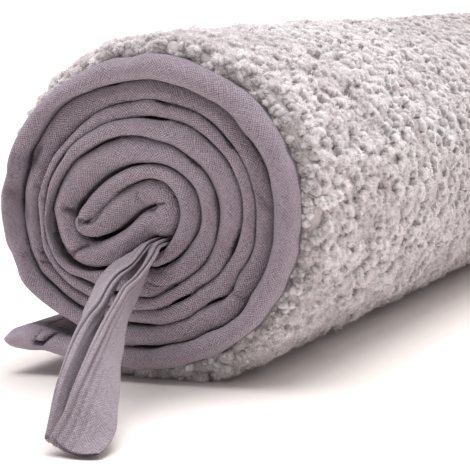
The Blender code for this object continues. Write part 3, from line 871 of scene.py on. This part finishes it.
def puffs_in_tufts(path, random, low, high, spacing, each, radius, seen):
    """Puffs in groups: the middle, axis, radius, stretch, height share (painted shade) and tone of each.

    Tufts stand on a jittered grid over the pile, between two distances from the front border. A
    tuft's puffs lie round its middle, and those further out lie lower. Away from the front they are
    stretched round the roll. The seen ones are those that the front view shows, within the zones.
    """
    columns = np.arange(END_DEPTH + 1.0, along_at(path, PILE_END_ANGLE), spacing)
    rows = np.arange(low + 0.5, high, spacing * ROW_SPACING)
    a, s = np.meshgrid(columns, rows, indexing="ij")
    a = a + (np.arange(len(rows)) % 2)[None, :] * spacing * 0.5
    a = (a + random.uniform(-TUFT_JITTER, TUFT_JITTER, a.shape) * spacing).ravel()
    s = (s + random.uniform(-TUFT_JITTER, TUFT_JITTER, s.shape) * spacing).ravel()
    shown = (facing_camera(path, a, FRONT + s) > SEEN_FACING) & (s < PILE_ZONES[-1][2])
    kept = (shown == seen) & (sections_at(path, a).reach > LEAST_REACH)
    a, s = a[kept], np.clip(s[kept], 0.4, pile_length() - 0.4)
    limit, square, onward, across, room = pile_frame(path, a, s)
    far = fade(110.0, 220.0, s)
    lift = TUFT_LIFT * soft_noise(a / 6.0, s / 6.0, 33) + random.normal(0, LIFT_SCATTER, len(a))
    lift = (lift - TUFT_LIFT / 2) * (1 - 0.45 * far)
    over = 0.5 * (fade(-7.0, 0.0, s - pile_length()) - 1 + fade(0.0, 7.0, s))
    lean = onward * random.normal(0, TUFT_LEAN, len(a))[:, None]
    lean = lean + across * (random.normal(0, TUFT_LEAN, len(a)) + over)[:, None]
    tone = 0.5 + TONE_WAVES * soft_noise(a / 5.0, s / 5.0, 35) + random.normal(0, TONE_SCATTER, len(a))
    # Painted shade: further back the tone is darker
    tone = np.clip(tone - 0.25 * far, 0, 1)

    group = np.repeat(np.arange(len(a)), each)
    wide = radius * random.uniform(0.7, 1.2, len(group)) * (0.55 + 0.45 * room[group])
    swing = random.uniform(0, 2 * pi, len(group))
    away = PUFF_SPREAD * radius * np.sqrt(random.uniform(0.05, 1, len(group)))
    stretch = 1 + 0.4 * fade(40.0, 120.0, s)[group]
    aside = onward[group] * (away * stretch * np.cos(swing))[:, None]
    aside = aside + across[group] * (away / stretch * np.sin(swing))[:, None]
    axis = unit(square[group] + lean[group] + aside * 0.4 / radius)
    top = lift[group] * room[group] - 0.5 * away ** 2 / radius
    middle = limit[group] + square[group] * (top - wide)[:, None] + aside + lean[group] * radius
    # Painted shade: lower puffs, those near the border and those further back get less of the tip's colour
    share = np.clip(0.9 + 0.35 * top, 0.2, 1) * (0.55 + 0.45 * fade(0.0, 2.5, to_border(s)[group]))
    share = share + (0.30 - share) * 0.75 * far[group]
    return Puffs(middle, axis, wide, stretch, share, tone[group])


def puff_cores(name, random, shape, puffs):
    """One joined mesh of puffs, each an uneven ball round its middle."""
    points, faces = puff_shape(*PUFF_SHAPES[shape])
    angle, radius, height = points.T
    size = (len(puffs.wide), len(points))
    wide, stretch = puffs.wide[:, None], puffs.stretch[:, None]
    side = unit(np.cross(puffs.axis, [[0.0, 1.0, 0.02]]))
    other = np.cross(puffs.axis, side)
    angle = angle + random.uniform(0, 2 * pi, len(wide))[:, None]
    spread = radius * wide * random.uniform(0.56, 1.2, size) * 0.9
    rise = (height - 0.5) * 1.84 * wide * random.uniform(0.84, 1.14, size)
    points = puffs.middle[:, None] + puffs.axis[:, None] * rise[..., None]
    points = points + side[:, None] * (np.cos(angle) * spread * stretch)[..., None]
    points = points + other[:, None] * (np.sin(angle) * spread / stretch ** 0.7)[..., None]
    corners = (faces + (np.arange(size[0]) * size[1])[:, None, None]).ravel()
    # Painted shade: each puff is darker low down, towards the root colour
    tip = puffs.share[:, None] * (0.25 + 0.75 * height)
    values = {"tip": tip.ravel(), "tone": np.repeat(puffs.tone, size[1])}
    starts = np.arange(0, len(corners), 3)
    return make_mesh(name, above_floor(points).reshape(-1, 3), corners, starts, values=values)


def loose_fibres(name, start, end, side, tip, tone):
    """One joined mesh of thin triangles, each from a short side across its start to its end.

    tip is the attribute at a triangle's three corners, and tone is one number a triangle.
    """
    points = above_floor(np.stack([start - side, start + side, end], axis=1)).reshape(-1, 3)
    corners = np.arange(len(points))
    values = {"tip": np.broadcast_to(tip, (len(start), 3)).ravel(), "tone": np.repeat(tone, 3)}
    return make_mesh(name, points, corners, corners[::3], values=values)


def puff_fibres(name, random, each, puffs):
    """Loose fibres that leave each puff's middle, most of them near its axis."""
    index = np.repeat(np.arange(len(puffs.wide)), each)
    axis, wide = puffs.axis[index], puffs.wide[index]
    way = unit(random.normal(0, 0.75, (len(index), 3)) + axis * 0.9)
    way[:, [0, 2]] *= puffs.stretch[index, None]
    bent = unit(way + random.normal(0, 0.22, way.shape))
    start = puffs.middle[index] + way * (wide * 0.55)[:, None]
    end = puffs.middle[index] + bent * (wide * random.uniform(0.95, 1.45, len(index)))[:, None]
    side = unit(np.cross(bent, random.normal(0, 1, way.shape)))
    side = side * random.uniform(0.09, 0.2, len(index))[:, None]
    # Painted shade: fibres turned away from the puff's axis, and each fibre's root end, get less of the
    # tip's colour
    height = np.clip(0.5 + 0.5 * np.sum(way * axis, axis=1), 0, 1) * puffs.share[index]
    tone = np.clip(puffs.tone[index] + random.normal(0, 0.28, len(index)), 0, 1)
    return loose_fibres(name, start, end, side, height[:, None] * [0.75, 0.75, 1.0], tone)


def groove_fibres(name, path):
    """Loose fibres of the pile inside the roll, which come forward out of the front's grooves, dark with
    painted shade.

    Each starts at the pile side, as deep as the bead's nose is long, and ends in front of that. Soft
    noise along the winding gathers them in clumps.
    """
    random = np.random.default_rng(GROOVE_SEED)
    a = random.uniform(along_at(path, PILE_DIVES_ANGLE), path.along[-1] - 5, GROOVE_FIBRES)
    a = a[soft_noise(a / 5.0, a * 0, 79) + random.normal(0, 0.2, len(a)) > 0.45]
    section = sections_at(path, a)
    half, _ = half_and_middle(section)
    nose = nose_length(half)
    ahead = nose * random.uniform(0.3, 0.95, len(a))
    forward, back = stand_at(section.turned)
    depth = FRONT + nose - (forward - back) * (1 - nose / BINDING_DEPTH)
    out, slant = unit(half), random.normal(0, 0.5, (2, len(a), 1))
    start = section.pile + out * random.normal(0, 0.12, (len(a), 1))
    end = start + out * slant[0] + np.stack([-out[:, 1], out[:, 0]], axis=1) * slant[1]
    start, end = carried(start, depth), carried(end, depth - ahead)
    side = unit(np.cross(end - start, random.normal(0, 1, start.shape))) * GROOVE_FIBRE_HALF_WIDTH
    return loose_fibres(name, start, end, side, [0.0, 0.0, 0.6], random.uniform(0, 1, len(a)))


def camera_place():
    """The camera's place in millimetres."""
    x, y, z = CAMERA_FROM_FRONT
    return np.array([x + X_SHIFT, FRONT + y, z])


def facing_camera(path, a, y):
    """How squarely places on the pile face the camera, from -1 to 1."""
    section = sections_at(path, a)
    out = unit(section.pile - section.backing)
    view = unit(camera_place() - carried(section.pile, y))
    return out[:, 0] * view[:, 0] + out[:, 1] * view[:, 2]


def strand_frames(column, stations):
    """One strand of the loop at many places: upper edge, way onward, width direction and facing.

    The width direction hangs down square to the way onward, then leans by the table's angle.
    """
    ahead = np.array([row[0] for row in LOOP])
    x, z, lean = np.array([row[column] for row in LOOP]).T
    table = np.stack([x + X_SHIFT, FRONT - ahead, z, lean], axis=1)
    fine = curve_through(table, np.linspace(0, len(table) - 1, stations))
    edge, lean = fine[:, :3], np.radians(fine[:, 3:])
    onward = unit(np.gradient(edge, axis=0))
    down = unit(np.array([0.0, 0.0, -1.0]) + onward * onward[:, 2:])
    rightward = np.cross(onward, down)
    width = down * np.cos(lean) + rightward * np.sin(lean)
    return edge, onward, width, rightward * np.cos(lean) - down * np.sin(lean)


def loop_course(stations):
    """The tape's upper edge, width direction and facing, down its left strand and up its right one.

    Round the tip the edge follows half an ellipse between the strands' ends. The way onward at the
    tip comes last.
    """
    edge_a, onward_a, width_a, facing_a = strand_frames(1, stations)
    edge_b, _, width_b, facing_b = strand_frames(2, stations)
    middle, apart = (edge_a[-1] + edge_b[-1]) / 2, (edge_b[-1] - edge_a[-1]) / 2
    width, onward = width_a[-1], onward_a[-1]
    straight = apart - width * (apart @ width)
    radius = np.linalg.norm(straight)
    turn = np.linspace(0, pi, TIP_STATIONS)[1:-1, None]
    edge = middle - apart * np.cos(turn) + onward * radius * np.sin(turn)
    facing = straight / radius * np.cos(turn) - onward * np.sin(turn)
    return (np.concatenate([edge_a, edge, edge_b[::-1]]),
            np.concatenate([width_a, width + 0 * edge, width_b[::-1]]),
            np.concatenate([facing_a, facing, -facing_b[::-1]]), onward)


def tape_outline():
    """The folded tape's section: places across it, and out from its middle on either face.

    One face has the table's seam and ridges, and the other is plain between its lip and its fold.
    """
    face = np.array([(across, out) for _, across, out in TAPE_FACE])
    face = curve_through(face, np.linspace(0, len(face) - 1, 3 * len(face)))
    across, out = np.concatenate([face, [[TAPE_WIDTH, 0.0]], face[::-1] * [1, -1]]).T
    return across, np.where((out > 0) & (across > 1.0) & (across < 9.4), PLAIN_FACE, out)


def loop_rings(stations):
    """Rings for the folded tape, with its distances along and its painted shade.

    Noise that is long down the tape and short across it draws it into lengthwise puckers beside the
    seam. The left strand swells on its way down, and round the tip the tape bows forward.
    """
    edge, width, facing, onward = loop_course(stations)
    steps = np.linalg.norm(np.diff(edge + width * TAPE_WIDTH / 2, axis=0), axis=1)
    along = np.concatenate([[0.0], np.cumsum(steps)])
    across, out = tape_outline()
    flank = np.sign(out)[None, :]
    u, v = along[:, None], across[None, :]
    from_tip = np.abs(u - along[-1] / 2)

    pucker = soft_noise(u / 17.0, v / 0.75 + flank * 7, 71) * (0.29 - 0.22 * fade(2.0, 8.0, v))
    pucker = pucker + soft_noise(u / 9.0, v / 2.6 + flank * 5, 72) * 0.12
    pucker = pucker * np.clip(np.abs(out) / 0.4, 0, 1)
    sway = soft_noise(along / 22.0, along * 0, 73)[:, None] * 0.25 * fade(1, 9, v)
    thickness = 0.55 + 0.45 * fade(2.0, 12.0, from_tip)
    arch = np.sin(pi * np.clip(v / TAPE_WIDTH, 0, 1))
    swelling = fade(18.0, 32.0, u) * fade(80.0, 60.0, u)
    belly = 1.7 * arch ** 0.8 * swelling * np.clip(out, 0, 0.5) * 2
    offset = (out + flank * pucker * 0.7) * thickness + sway + belly
    bow = 2.0 * arch * fade(18.0, 0.0, from_tip)
    points = edge[:, None] + width[:, None] * v[..., None] + facing[:, None] * offset[..., None]
    rings = above_floor(points + onward * bow[..., None], 0.05)

    # Painted shade: in the face's grooves, on the strands' inner faces, most near the left strand's root,
    # and near the tip by the floor
    grooves = fade(PLAIN_FACE, 0.5, np.abs(out)) * (across > 1.0) * (across < 5.6) * (out < 0)
    shade = (flank > 0) * fade(0.3, 4.0, v) * (1.2 + 0.9 * fade(52.0, 24.0, u))
    shade = shade + 0.3 * fade(30.0, 5.0, from_tip) + 0.6 * grooves
    return rings, along, {"painted_shade": with_ends(shade, 0.0)}


def add(tree, kind, values=(), **settings):
    """A node with its settings, and each input either a number or another node's output."""
    made = tree.nodes.new(kind)
    for key, value in settings.items():
        setattr(made, key, value)
    for key, value in dict(values).items():
        if isinstance(value, bpy.types.NodeSocket):
            tree.links.new(value, made.inputs[key])
        else:
            made.inputs[key].default_value = value
    return made


def number(tree, operation, *terms):
    """The result of a math node over sockets or numbers."""
    return add(tree, "ShaderNodeMath", dict(enumerate(terms)), operation=operation).outputs[0]


def weighted(tree, start, *terms):
    """A start, a number or a socket, plus each of the sockets times its weight."""
    total = start
    for socket, weight in terms:
        total = number(tree, "MULTIPLY_ADD", socket, weight, total)
    return total


def vector(tree, operation, inputs):
    """The result of a vector math node."""
    return add(tree, "ShaderNodeVectorMath", inputs, operation=operation).outputs[0]


def noise(tree, place, scale, detail, roughness=0.5):
    """The value of a noise texture at a place."""
    inputs = {"Vector": place, "Scale": scale, "Detail": detail, "Roughness": roughness}
    return add(tree, "ShaderNodeTexNoise", inputs).outputs[0]


def attribute(tree, name):
    """The value of one of the mesh's attributes."""
    return add(tree, "ShaderNodeAttribute", attribute_name=name).outputs["Fac"]


def mixed(tree, factor, low, high):
    """A colour between two, by a factor. Each is three numbers or another node's colour."""
    made = add(tree, "ShaderNodeMix", {"Factor": factor}, data_type="RGBA")
    for key, colour in (("A", low), ("B", high)):
        if isinstance(colour, bpy.types.NodeSocket):
            tree.links.new(colour, made.inputs[key])
        else:
            made.inputs[key].default_value = (*colour, 1.0)
    return made.outputs["Result"]


def new_group(name, takes, gives):
    """An empty shader group with its sockets, and its two end nodes."""
    group = bpy.data.node_groups.new(name, "ShaderNodeTree")
    for key, kind, start in takes:
        socket = group.interface.new_socket(key, in_out="INPUT", socket_type=kind)
        if start is not None:
            socket.default_value = start
    for key, kind in gives:
        group.interface.new_socket(key, in_out="OUTPUT", socket_type=kind)
    return group, group.nodes.new("NodeGroupInput"), group.nodes.new("NodeGroupOutput")


def threads(group, coordinate, pitch, first):
    """Threads side by side along a coordinate, counted from first.

    Gives each thread's number, the square of the place across it from -1 to 1, and its own tone.
    """
    count = number(group, "DIVIDE", coordinate, pitch)
    thread = number(group, "FLOOR", count)
    place = number(group, "MULTIPLY_ADD", number(group, "FRACT", count), 2.0, -1.0)
    counted = {"W": number(group, "ADD", thread, first)}
    tone = add(group, "ShaderNodeTexWhiteNoise", counted, noise_dimensions="1D").outputs[0]
    return thread, number(group, "MULTIPLY", place, place), tone


def round_back(group, across, along):
    """Height of a thread on top, from the squares of the places across it and along it."""
    dive = number(group, "MULTIPLY", along, 0.45)
    return number(group, "SUBTRACT", number(group, "MULTIPLY_ADD", across, -1.0, 1.0), dive)


def plain_weave_group():
    """Plain weave over coordinates in millimetres: each cell shows the thread on top, as a round back.

    In a cell where the warp is on top the height is one minus the square of the place across it,
    less a little towards the cell's ends where it dives; in the next cell it is the weft's turn. The
    shade follows the height, each thread's tone and soft slubs along the threads.
    """
    group, given, result = new_group(
        "plain_weave",
        (("Vector", VECTOR, None), ("Pitch", FLOAT, 0.5), ("Strength", FLOAT, 0.5)),
        (("Height", FLOAT), ("Shade", FLOAT), ("Normal", VECTOR)),
    )
    place, pitch = given.outputs["Vector"], given.outputs["Pitch"]
    wander = noise(group, place, 0.35, 2.0).node.outputs["Color"]
    wander = vector(group, "SUBTRACT", {0: wander, 1: (0.5, 0.5, 0.5)})
    wander = vector(group, "SCALE", {0: wander, "Scale": 1.1})
    moved = {"Vector": vector(group, "ADD", {0: place, 1: wander}), "Angle": radians(41)}
    turned = add(group, "ShaderNodeVectorRotate", moved, rotation_type="Z_AXIS").outputs[0]
    parts = add(group, "ShaderNodeSeparateXYZ", {0: turned})
    warp, across_warp, warp_tone = threads(group, parts.outputs[0], pitch, 0.0)
    weft, across_weft, weft_tone = threads(group, parts.outputs[1], pitch, 57.5)
    on_top = number(group, "PINGPONG", number(group, "ADD", warp, weft), 1.0)
    warp_back = round_back(group, across_warp, across_weft)
    weft_back = round_back(group, across_weft, across_warp)
    height = add(group, "ShaderNodeMix", {"Factor": on_top, "A": warp_back, "B": weft_back}).outputs[0]
    tone = add(group, "ShaderNodeMix", {"Factor": on_top, "A": warp_tone, "B": weft_tone}).outputs[0]
    slub = noise(group, turned, 1.4, 4.0, 0.65)
    raised = number(group, "MAXIMUM", height, 0.0)
    shade = weighted(group, -0.27, (slub, 0.9), (tone, 0.14), (raised, 0.6))
    bump = {"Strength": given.outputs["Strength"], "Distance": 0.00028, "Height": height}
    group.links.new(height, result.inputs["Height"])
    group.links.new(shade, result.inputs["Shade"])
    group.links.new(add(group, "ShaderNodeBump", bump).outputs[0], result.inputs["Normal"])
    return group


def yarn_group():
    """Loose fibres on a tuft: noise of three sizes as bumps, and a mottled shade."""
    group, given, result = new_group(
        "yarn_fibres",
        (("Vector", VECTOR, None), ("Strength", FLOAT, 0.6)),
        (("Shade", FLOAT), ("Normal", VECTOR)),
    )
    place = given.outputs["Vector"]
    fine = noise(group, place, 2600.0, 3.0, 0.7)
    broad = noise(group, place, 700.0, 2.0)
    curls = noise(group, place, 1150.0, 1.0)
    height = weighted(group, broad, (fine, 0.6), (curls, 1.1))
    bump = {"Strength": given.outputs["Strength"], "Distance": 0.0006, "Height": height}
    shade = weighted(group, -0.35, (broad, 0.5), (fine, 0.7), (curls, 0.9))
    group.links.new(shade, result.inputs["Shade"])
    group.links.new(add(group, "ShaderNodeBump", bump).outputs[0], result.inputs["Normal"])
    return group


def new_material(name, looks):
    """A material, with the values of some of its Principled shader's sockets."""
    made = bpy.data.materials.new(name)
    made.use_nodes = True
    shader = made.node_tree.nodes["Principled BSDF"]
    for key, value in looks.items():
        shader.inputs[key].default_value = value
    return made, made.node_tree, shader


def woven_material(name, dark, light, pitch, strength, sheen):
    """Plain cotton weave on UV millimetres, with a grain, a slow mottle, and painted shade from an
    attribute.
    """
    made, tree, shader = new_material(name, {
        "Roughness": 0.88,
        "Sheen Weight": sheen,
        "Sheen Roughness": 0.45,
        "Sheen Tint": (0.92, 0.86, 0.95, 1.0),
        "Specular IOR Level": 0.2,
    })
    uv = add(tree, "ShaderNodeUVMap", uv_map="UVMap").outputs[0]
    weave = add(tree, "ShaderNodeGroup", node_tree=bpy.data.node_groups["plain_weave"])
    weave.inputs["Pitch"].default_value = pitch
    weave.inputs["Strength"].default_value = strength
    tree.links.new(uv, weave.inputs["Vector"])
    slow, grain = noise(tree, uv, 0.12, 3.0), noise(tree, uv, 1.5, 2.0, 0.7)
    painted_shade = attribute(tree, "painted_shade")
    # Painted shade: the attribute darkens the colour and, where deep, mixes in the darkest painted shade
    light_share = weighted(
        tree, -0.78, (weave.outputs["Shade"], 1.25), (grain, 1.0), (slow, 0.35), (painted_shade, -0.45))
    deep_share = weighted(tree, -0.35, (painted_shade, 0.45))
    colour = mixed(tree, deep_share, mixed(tree, light_share, dark, light), DEEP_PAINTED_SHADE_COLOUR)
    tree.links.new(colour, shader.inputs["Base Color"])
    tree.links.new(weave.outputs["Normal"], shader.inputs["Normal"])
    return made


def yarn_material(name, root, tip):
    """Tufted yarn: dark at the root as painted shade, pale at the tip, each tuft a little different."""
    made, tree, shader = new_material(name, {
        "Roughness": 0.95,
        "Subsurface Weight": 0.6,
        "Subsurface Radius": (1.0, 0.9, 0.9),
        "Subsurface Scale": 0.0022,
        "Sheen Weight": 0.5,
        "Sheen Roughness": 0.5,
        "Specular IOR Level": 0.1,
    })
    place = add(tree, "ShaderNodeTexCoord").outputs["Object"]
    fibres = add(tree, "ShaderNodeGroup", node_tree=bpy.data.node_groups["yarn_fibres"])
    tree.links.new(place, fibres.inputs["Vector"])
    climb = number(tree, "POWER", attribute(tree, "tip"), 1.3)
    varied = weighted(tree, -0.08, (climb, 0.78), (attribute(tree, "tone"), 0.22))
    factor = number(tree, "MULTIPLY", varied, number(tree, "ADD", fibres.outputs["Shade"], 0.36))
    tree.links.new(mixed(tree, factor, root, tip), shader.inputs["Base Color"])
    tree.links.new(fibres.outputs["Normal"], shader.inputs["Normal"])
    return made


def fuzz_material(name, root, tip):
    """Loose fibres, which show the light on either side of them."""
    looks = {"Roughness": 0.95, "Sheen Weight": 0.3, "Specular IOR Level": 0.0}
    made, tree, shader = new_material(name, looks)
    factor = weighted(tree, 0.12, (attribute(tree, "tip"), 0.72), (attribute(tree, "tone"), 0.35))
    colour = mixed(tree, factor, root, tip)
    tree.links.new(colour, shader.inputs["Base Color"])
    through = add(tree, "ShaderNodeBsdfTranslucent", {"Color": colour})
    both = add(tree, "ShaderNodeMixShader", {0: 0.5, 1: shader.outputs[0], 2: through.outputs[0]})
    tree.links.new(both.outputs[0], tree.nodes["Material Output"].inputs["Surface"])
    return made


def plain_material(name, colour, roughness):
    """A material of one colour."""
    return new_material(name, {"Base Color": (*colour, 1.0), "Roughness": roughness})[0]


def dress(piece, material):
    """A finished piece gets its material and its body."""
    piece.data.materials.append(material)
    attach(piece, "root")
    return piece


def ready_material(name, maker, *details):
    """The material of that name, made once."""
    return bpy.data.materials.get(name) or maker(name, *details)


def tape_material(name, looks, pitch, strength, sheen):
    """The weave of a tape, in the dark and light colours that the panel gives it."""
    if "plain_weave" not in bpy.data.node_groups:
        plain_weave_group()
    return ready_material(name, woven_material, looks.dark[:], looks.light[:], pitch, strength, sheen)


class RolledMatBinding(bpy.types.PropertyGroup):
    dark: bpy.props.FloatVectorProperty(name="Dark", description="Colour in the weave's hollows",
                                        subtype="COLOR", default=(0.145, 0.110, 0.132))
    light: bpy.props.FloatVectorProperty(name="Light", description="Colour of the threads' backs",
                                         subtype="COLOR", default=(0.51, 0.416, 0.493))
    pitch: bpy.props.FloatProperty(name="Pitch", description="Distance between threads, in millimetres",
                                   default=0.52, min=0.2, max=2.0)
    nose_columns: bpy.props.IntProperty(name="Nose columns", description="Columns of points round the bead",
                                        default=23, min=9, max=41)


class RolledMatPile(bpy.types.PropertyGroup):
    # The root colour is the yarn darkened as painted shade deep in the pile
    root: bpy.props.FloatVectorProperty(name="Root", description="Colour deep in the pile", subtype="COLOR",
                                        default=(0.45, 0.385, 0.39))
    tip: bpy.props.FloatVectorProperty(name="Tip", description="Colour of the tufts' ends", subtype="COLOR",
                                       default=(0.965, 0.92, 0.94))


class RolledMatLoop(bpy.types.PropertyGroup):
    dark: bpy.props.FloatVectorProperty(name="Dark", description="Colour in the weave's hollows",
                                        subtype="COLOR", default=(0.17, 0.137, 0.158))
    light: bpy.props.FloatVectorProperty(name="Light", description="Colour of the threads' backs",
                                         subtype="COLOR", default=(0.405, 0.344, 0.388))
    pitch: bpy.props.FloatProperty(name="Pitch", description="Distance between threads, in millimetres",
                                   default=0.45, min=0.2, max=2.0)
    stations: bpy.props.IntProperty(name="Stations", description="Rings of points down one strand",
                                    default=80, min=20, max=300)


class RolledMatStage(bpy.types.PropertyGroup):
    key: bpy.props.FloatProperty(name="Key", description="Strength of the key light",
                                 default=3.15, min=0.0)
    back: bpy.props.FloatProperty(name="Back", description="Strength of the light from behind",
                                  default=1.6, min=0.0)
    surround: bpy.props.FloatProperty(name="Surround", description="Strength of the white surroundings",
                                      default=0.37, min=0.0)


class ROLLEDMAT_OT_cloth(bpy.types.Operator):
    """Makes the wound cloth under the tufts."""

    bl_idname = "rolled_mat.cloth"
    bl_label = "Cloth"

    def execute(self, context):
        piece = tube("mat_cloth", *cloth_rings(wound_path()))
        dress(piece, ready_material("backing", plain_material, BACKING_COLOUR, 0.95))
        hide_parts("mat")
        return {"FINISHED"}


class ROLLEDMAT_OT_bindings(bpy.types.Operator):
    """Makes the tape round the edges: two wound spirals and the two straight ends."""

    bl_idname = "rolled_mat.bindings"
    bl_label = "Bindings"

    def execute(self, context):
        looks = context.scene.rolled_mat_binding
        material = tape_material("binding_weave", looks, looks.pitch, 0.9, 0.5)
        path = wound_path()
        coarse = Path(*[values[::COARSE_STEP] for values in path])
        for name, node, rings in (
            ("bound_edge_front", "binding_front", binding_rings(path, -1, looks.nose_columns)),
            ("bound_edge_back", "binding_back", binding_rings(coarse, 1, BACK_NOSE_COLUMNS)),
            ("bound_outer_end", "binding_outer_end", end_binding_rings(path, from_start=True)),
            ("bound_inner_end", "binding_inner_end", end_binding_rings(path, from_start=False)),
        ):
            piece = tube(name, *rings)
            dress(piece, material)
            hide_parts(node)
        return {"FINISHED"}


class ROLLEDMAT_OT_pile(bpy.types.Operator):
    """Makes the outer turn's pile in zones of tufts, and the fibres on it and in the grooves."""

    bl_idname = "rolled_mat.pile"
    bl_label = "Pile"

    def execute(self, context):
        looks = context.scene.rolled_mat_pile
        if "yarn_fibres" not in bpy.data.node_groups:
            yarn_group()
        yarn = ready_material("pile_yarn", yarn_material, looks.root[:], looks.tip[:])
        fuzz = ready_material("pile_fuzz", fuzz_material, looks.root[:], looks.tip[:])
        # A darker copy of the yarn, painted shade, for the far tufts and those the front view doesn't see
        darker = [tuple(PAINTED_SHADE_SHARE * value for value in colour) for colour in (looks.root, looks.tip)]
        shaded_yarn = ready_material("pile_yarn_painted_shade", yarn_material, *darker)
        # Fibres in the grooves, their colours darkened as painted shade
        deep = ready_material("groove_fuzz", fuzz_material, GROOVE_SHADED_ROOT_COLOUR, GROOVE_SHADED_TIP_COLOUR)
        path = wound_path()
        dress(pile_ground("pile_ground", path), yarn)
        dress(groove_fibres("fibres_in_grooves", path), deep)
        for seed, (name, low, high, spacing, each, radius, shape, fibres) in enumerate(PILE_ZONES):
            random = np.random.default_rng(seed)
            puffs = puffs_in_tufts(path, random, low, high, spacing, each, radius, seen=True)
            cores = puff_cores("tufts_" + name, random, shape, puffs)
            dress(cores, shaded_yarn if shape == "plain" else yarn)
            dress(puff_fibres("fibres_" + name, random, fibres, puffs), fuzz)
        random = np.random.default_rng(PLAIN_PILE_SEED)
        puffs = puffs_in_tufts(path, random, 0.0, pile_length(), *PLAIN_PILE, seen=False)
        dress(puff_cores("tufts_elsewhere", random, "plain", puffs), shaded_yarn)
        return {"FINISHED"}


class ROLLEDMAT_OT_loop(bpy.types.Operator):
    """Makes the hanging loop of folded tape."""

    bl_idname = "rolled_mat.loop"
    bl_label = "Hanging loop"

    def execute(self, context):
        looks = context.scene.rolled_mat_loop
        material = tape_material("loop_weave", looks, looks.pitch, 0.35, 0.2)
        piece = tube("loop_of_tape", *loop_rings(looks.stations))
        dress(piece, material)
        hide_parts("hanging_loop")
        return {"FINISHED"}


class ROLLEDMAT_OT_stage(bpy.types.Operator):
    """Makes the pale floor, the soft lights, the white surroundings and the camera."""

    bl_idname = "rolled_mat.stage"
    bl_label = "Stage"

    def execute(self, context):
        looks = context.scene.rolled_mat_stage
        scene = context.scene
        corners = FLOOR_REACH * np.array([(-1, -1, 0), (1, -1, 0), (1, 1, 0), (-1, 1, 0)])
        floor = make_mesh("floor", corners, np.arange(4), np.array([0]))
        floor.data.materials.append(plain_material("floor_white", FLOOR_COLOUR, 0.6))
        world = bpy.data.worlds.new("studio")
        world.use_nodes = True
        background = world.node_tree.nodes["Background"]
        background.inputs["Color"].default_value = (*SURROUND_COLOUR, 1.0)
        background.inputs["Strength"].default_value = looks.surround
        scene.world = world
        for name, strength, from_where in (
            ("key", looks.key, (-0.12, 0.0, 1.0)),
            ("back", looks.back, (0.25, 0.75, 1.0)),
        ):
            light = bpy.data.lights.new(name, "SUN")
            light.energy = strength
            light.angle = radians(LIGHT_SOFTNESS)
            lamp = bpy.data.objects.new(name, light)
            lamp.rotation_mode = "QUATERNION"
            lamp.rotation_quaternion = Vector(from_where).to_track_quat("Z", "Y")
            lamp.location = Vector(from_where)
            scene.collection.objects.link(lamp)
        lens = bpy.data.cameras.new("camera")
        lens.lens = CAMERA_LENS
        lens.sensor_width = 36.0
        lens.clip_start = 0.01
        lens.clip_end = 100.0
        camera = bpy.data.objects.new("camera", lens)
        camera.location = camera_place() * MM
        yaw, down = radians(CAMERA_YAW), radians(CAMERA_DOWN)
        forward = Vector((-sin(yaw) * cos(down), cos(yaw) * cos(down), -sin(down)))
        camera.rotation_mode = "QUATERNION"
        camera.rotation_quaternion = forward.to_track_quat("-Z", "Y")
        scene.collection.objects.link(camera)
        scene.camera = camera
        scene.view_settings.view_transform = "Standard"
        scene.view_settings.look = "None"
        return {"FINISHED"}


class ROLLEDMAT_PT_panel(bpy.types.Panel):
    bl_label = "Rolled bath mat"
    bl_idname = "ROLLEDMAT_PT_panel"
    bl_space_type = "VIEW_3D"
    bl_region_type = "UI"
    bl_category = "Mat"

    def draw(self, context):
        scene = context.scene
        for title, group, names, operator in (
            ("Cloth", scene.rolled_mat_pile, (), "rolled_mat.cloth"),
            ("Bindings", scene.rolled_mat_binding, ("dark", "light", "pitch", "nose_columns"),
             "rolled_mat.bindings"),
            ("Pile", scene.rolled_mat_pile, ("root", "tip"), "rolled_mat.pile"),
            ("Loop", scene.rolled_mat_loop, ("dark", "light", "pitch", "stations"), "rolled_mat.loop"),
            ("Stage", scene.rolled_mat_stage, ("key", "back", "surround"), "rolled_mat.stage"),
        ):
            box = self.layout.box()
            box.label(text=title)
            for name in names:
                box.prop(group, name)
            box.operator(operator)


GROUPS = {
    "rolled_mat_binding": RolledMatBinding,
    "rolled_mat_pile": RolledMatPile,
    "rolled_mat_loop": RolledMatLoop,
    "rolled_mat_stage": RolledMatStage,
}
CLASSES = (
    ROLLEDMAT_OT_cloth,
    ROLLEDMAT_OT_bindings,
    ROLLEDMAT_OT_pile,
    ROLLEDMAT_OT_loop,
    ROLLEDMAT_OT_stage,
    ROLLEDMAT_PT_panel,
)


def register():
    for name, kind in GROUPS.items():
        bpy.utils.register_class(kind)
        setattr(bpy.types.Scene, name, bpy.props.PointerProperty(type=kind))
    for kind in CLASSES:
        bpy.utils.register_class(kind)


def unregister():
    for kind in reversed(CLASSES):
        bpy.utils.unregister_class(kind)
    for name, kind in GROUPS.items():
        delattr(bpy.types.Scene, name)
        bpy.utils.unregister_class(kind)


def main():
    register()
    bpy.ops.rolled_mat.stage()
    bpy.ops.rolled_mat.cloth()
    bpy.ops.rolled_mat.bindings()
    bpy.ops.rolled_mat.pile()
    bpy.ops.rolled_mat.loop()


if __name__ == "__main__":
    main()
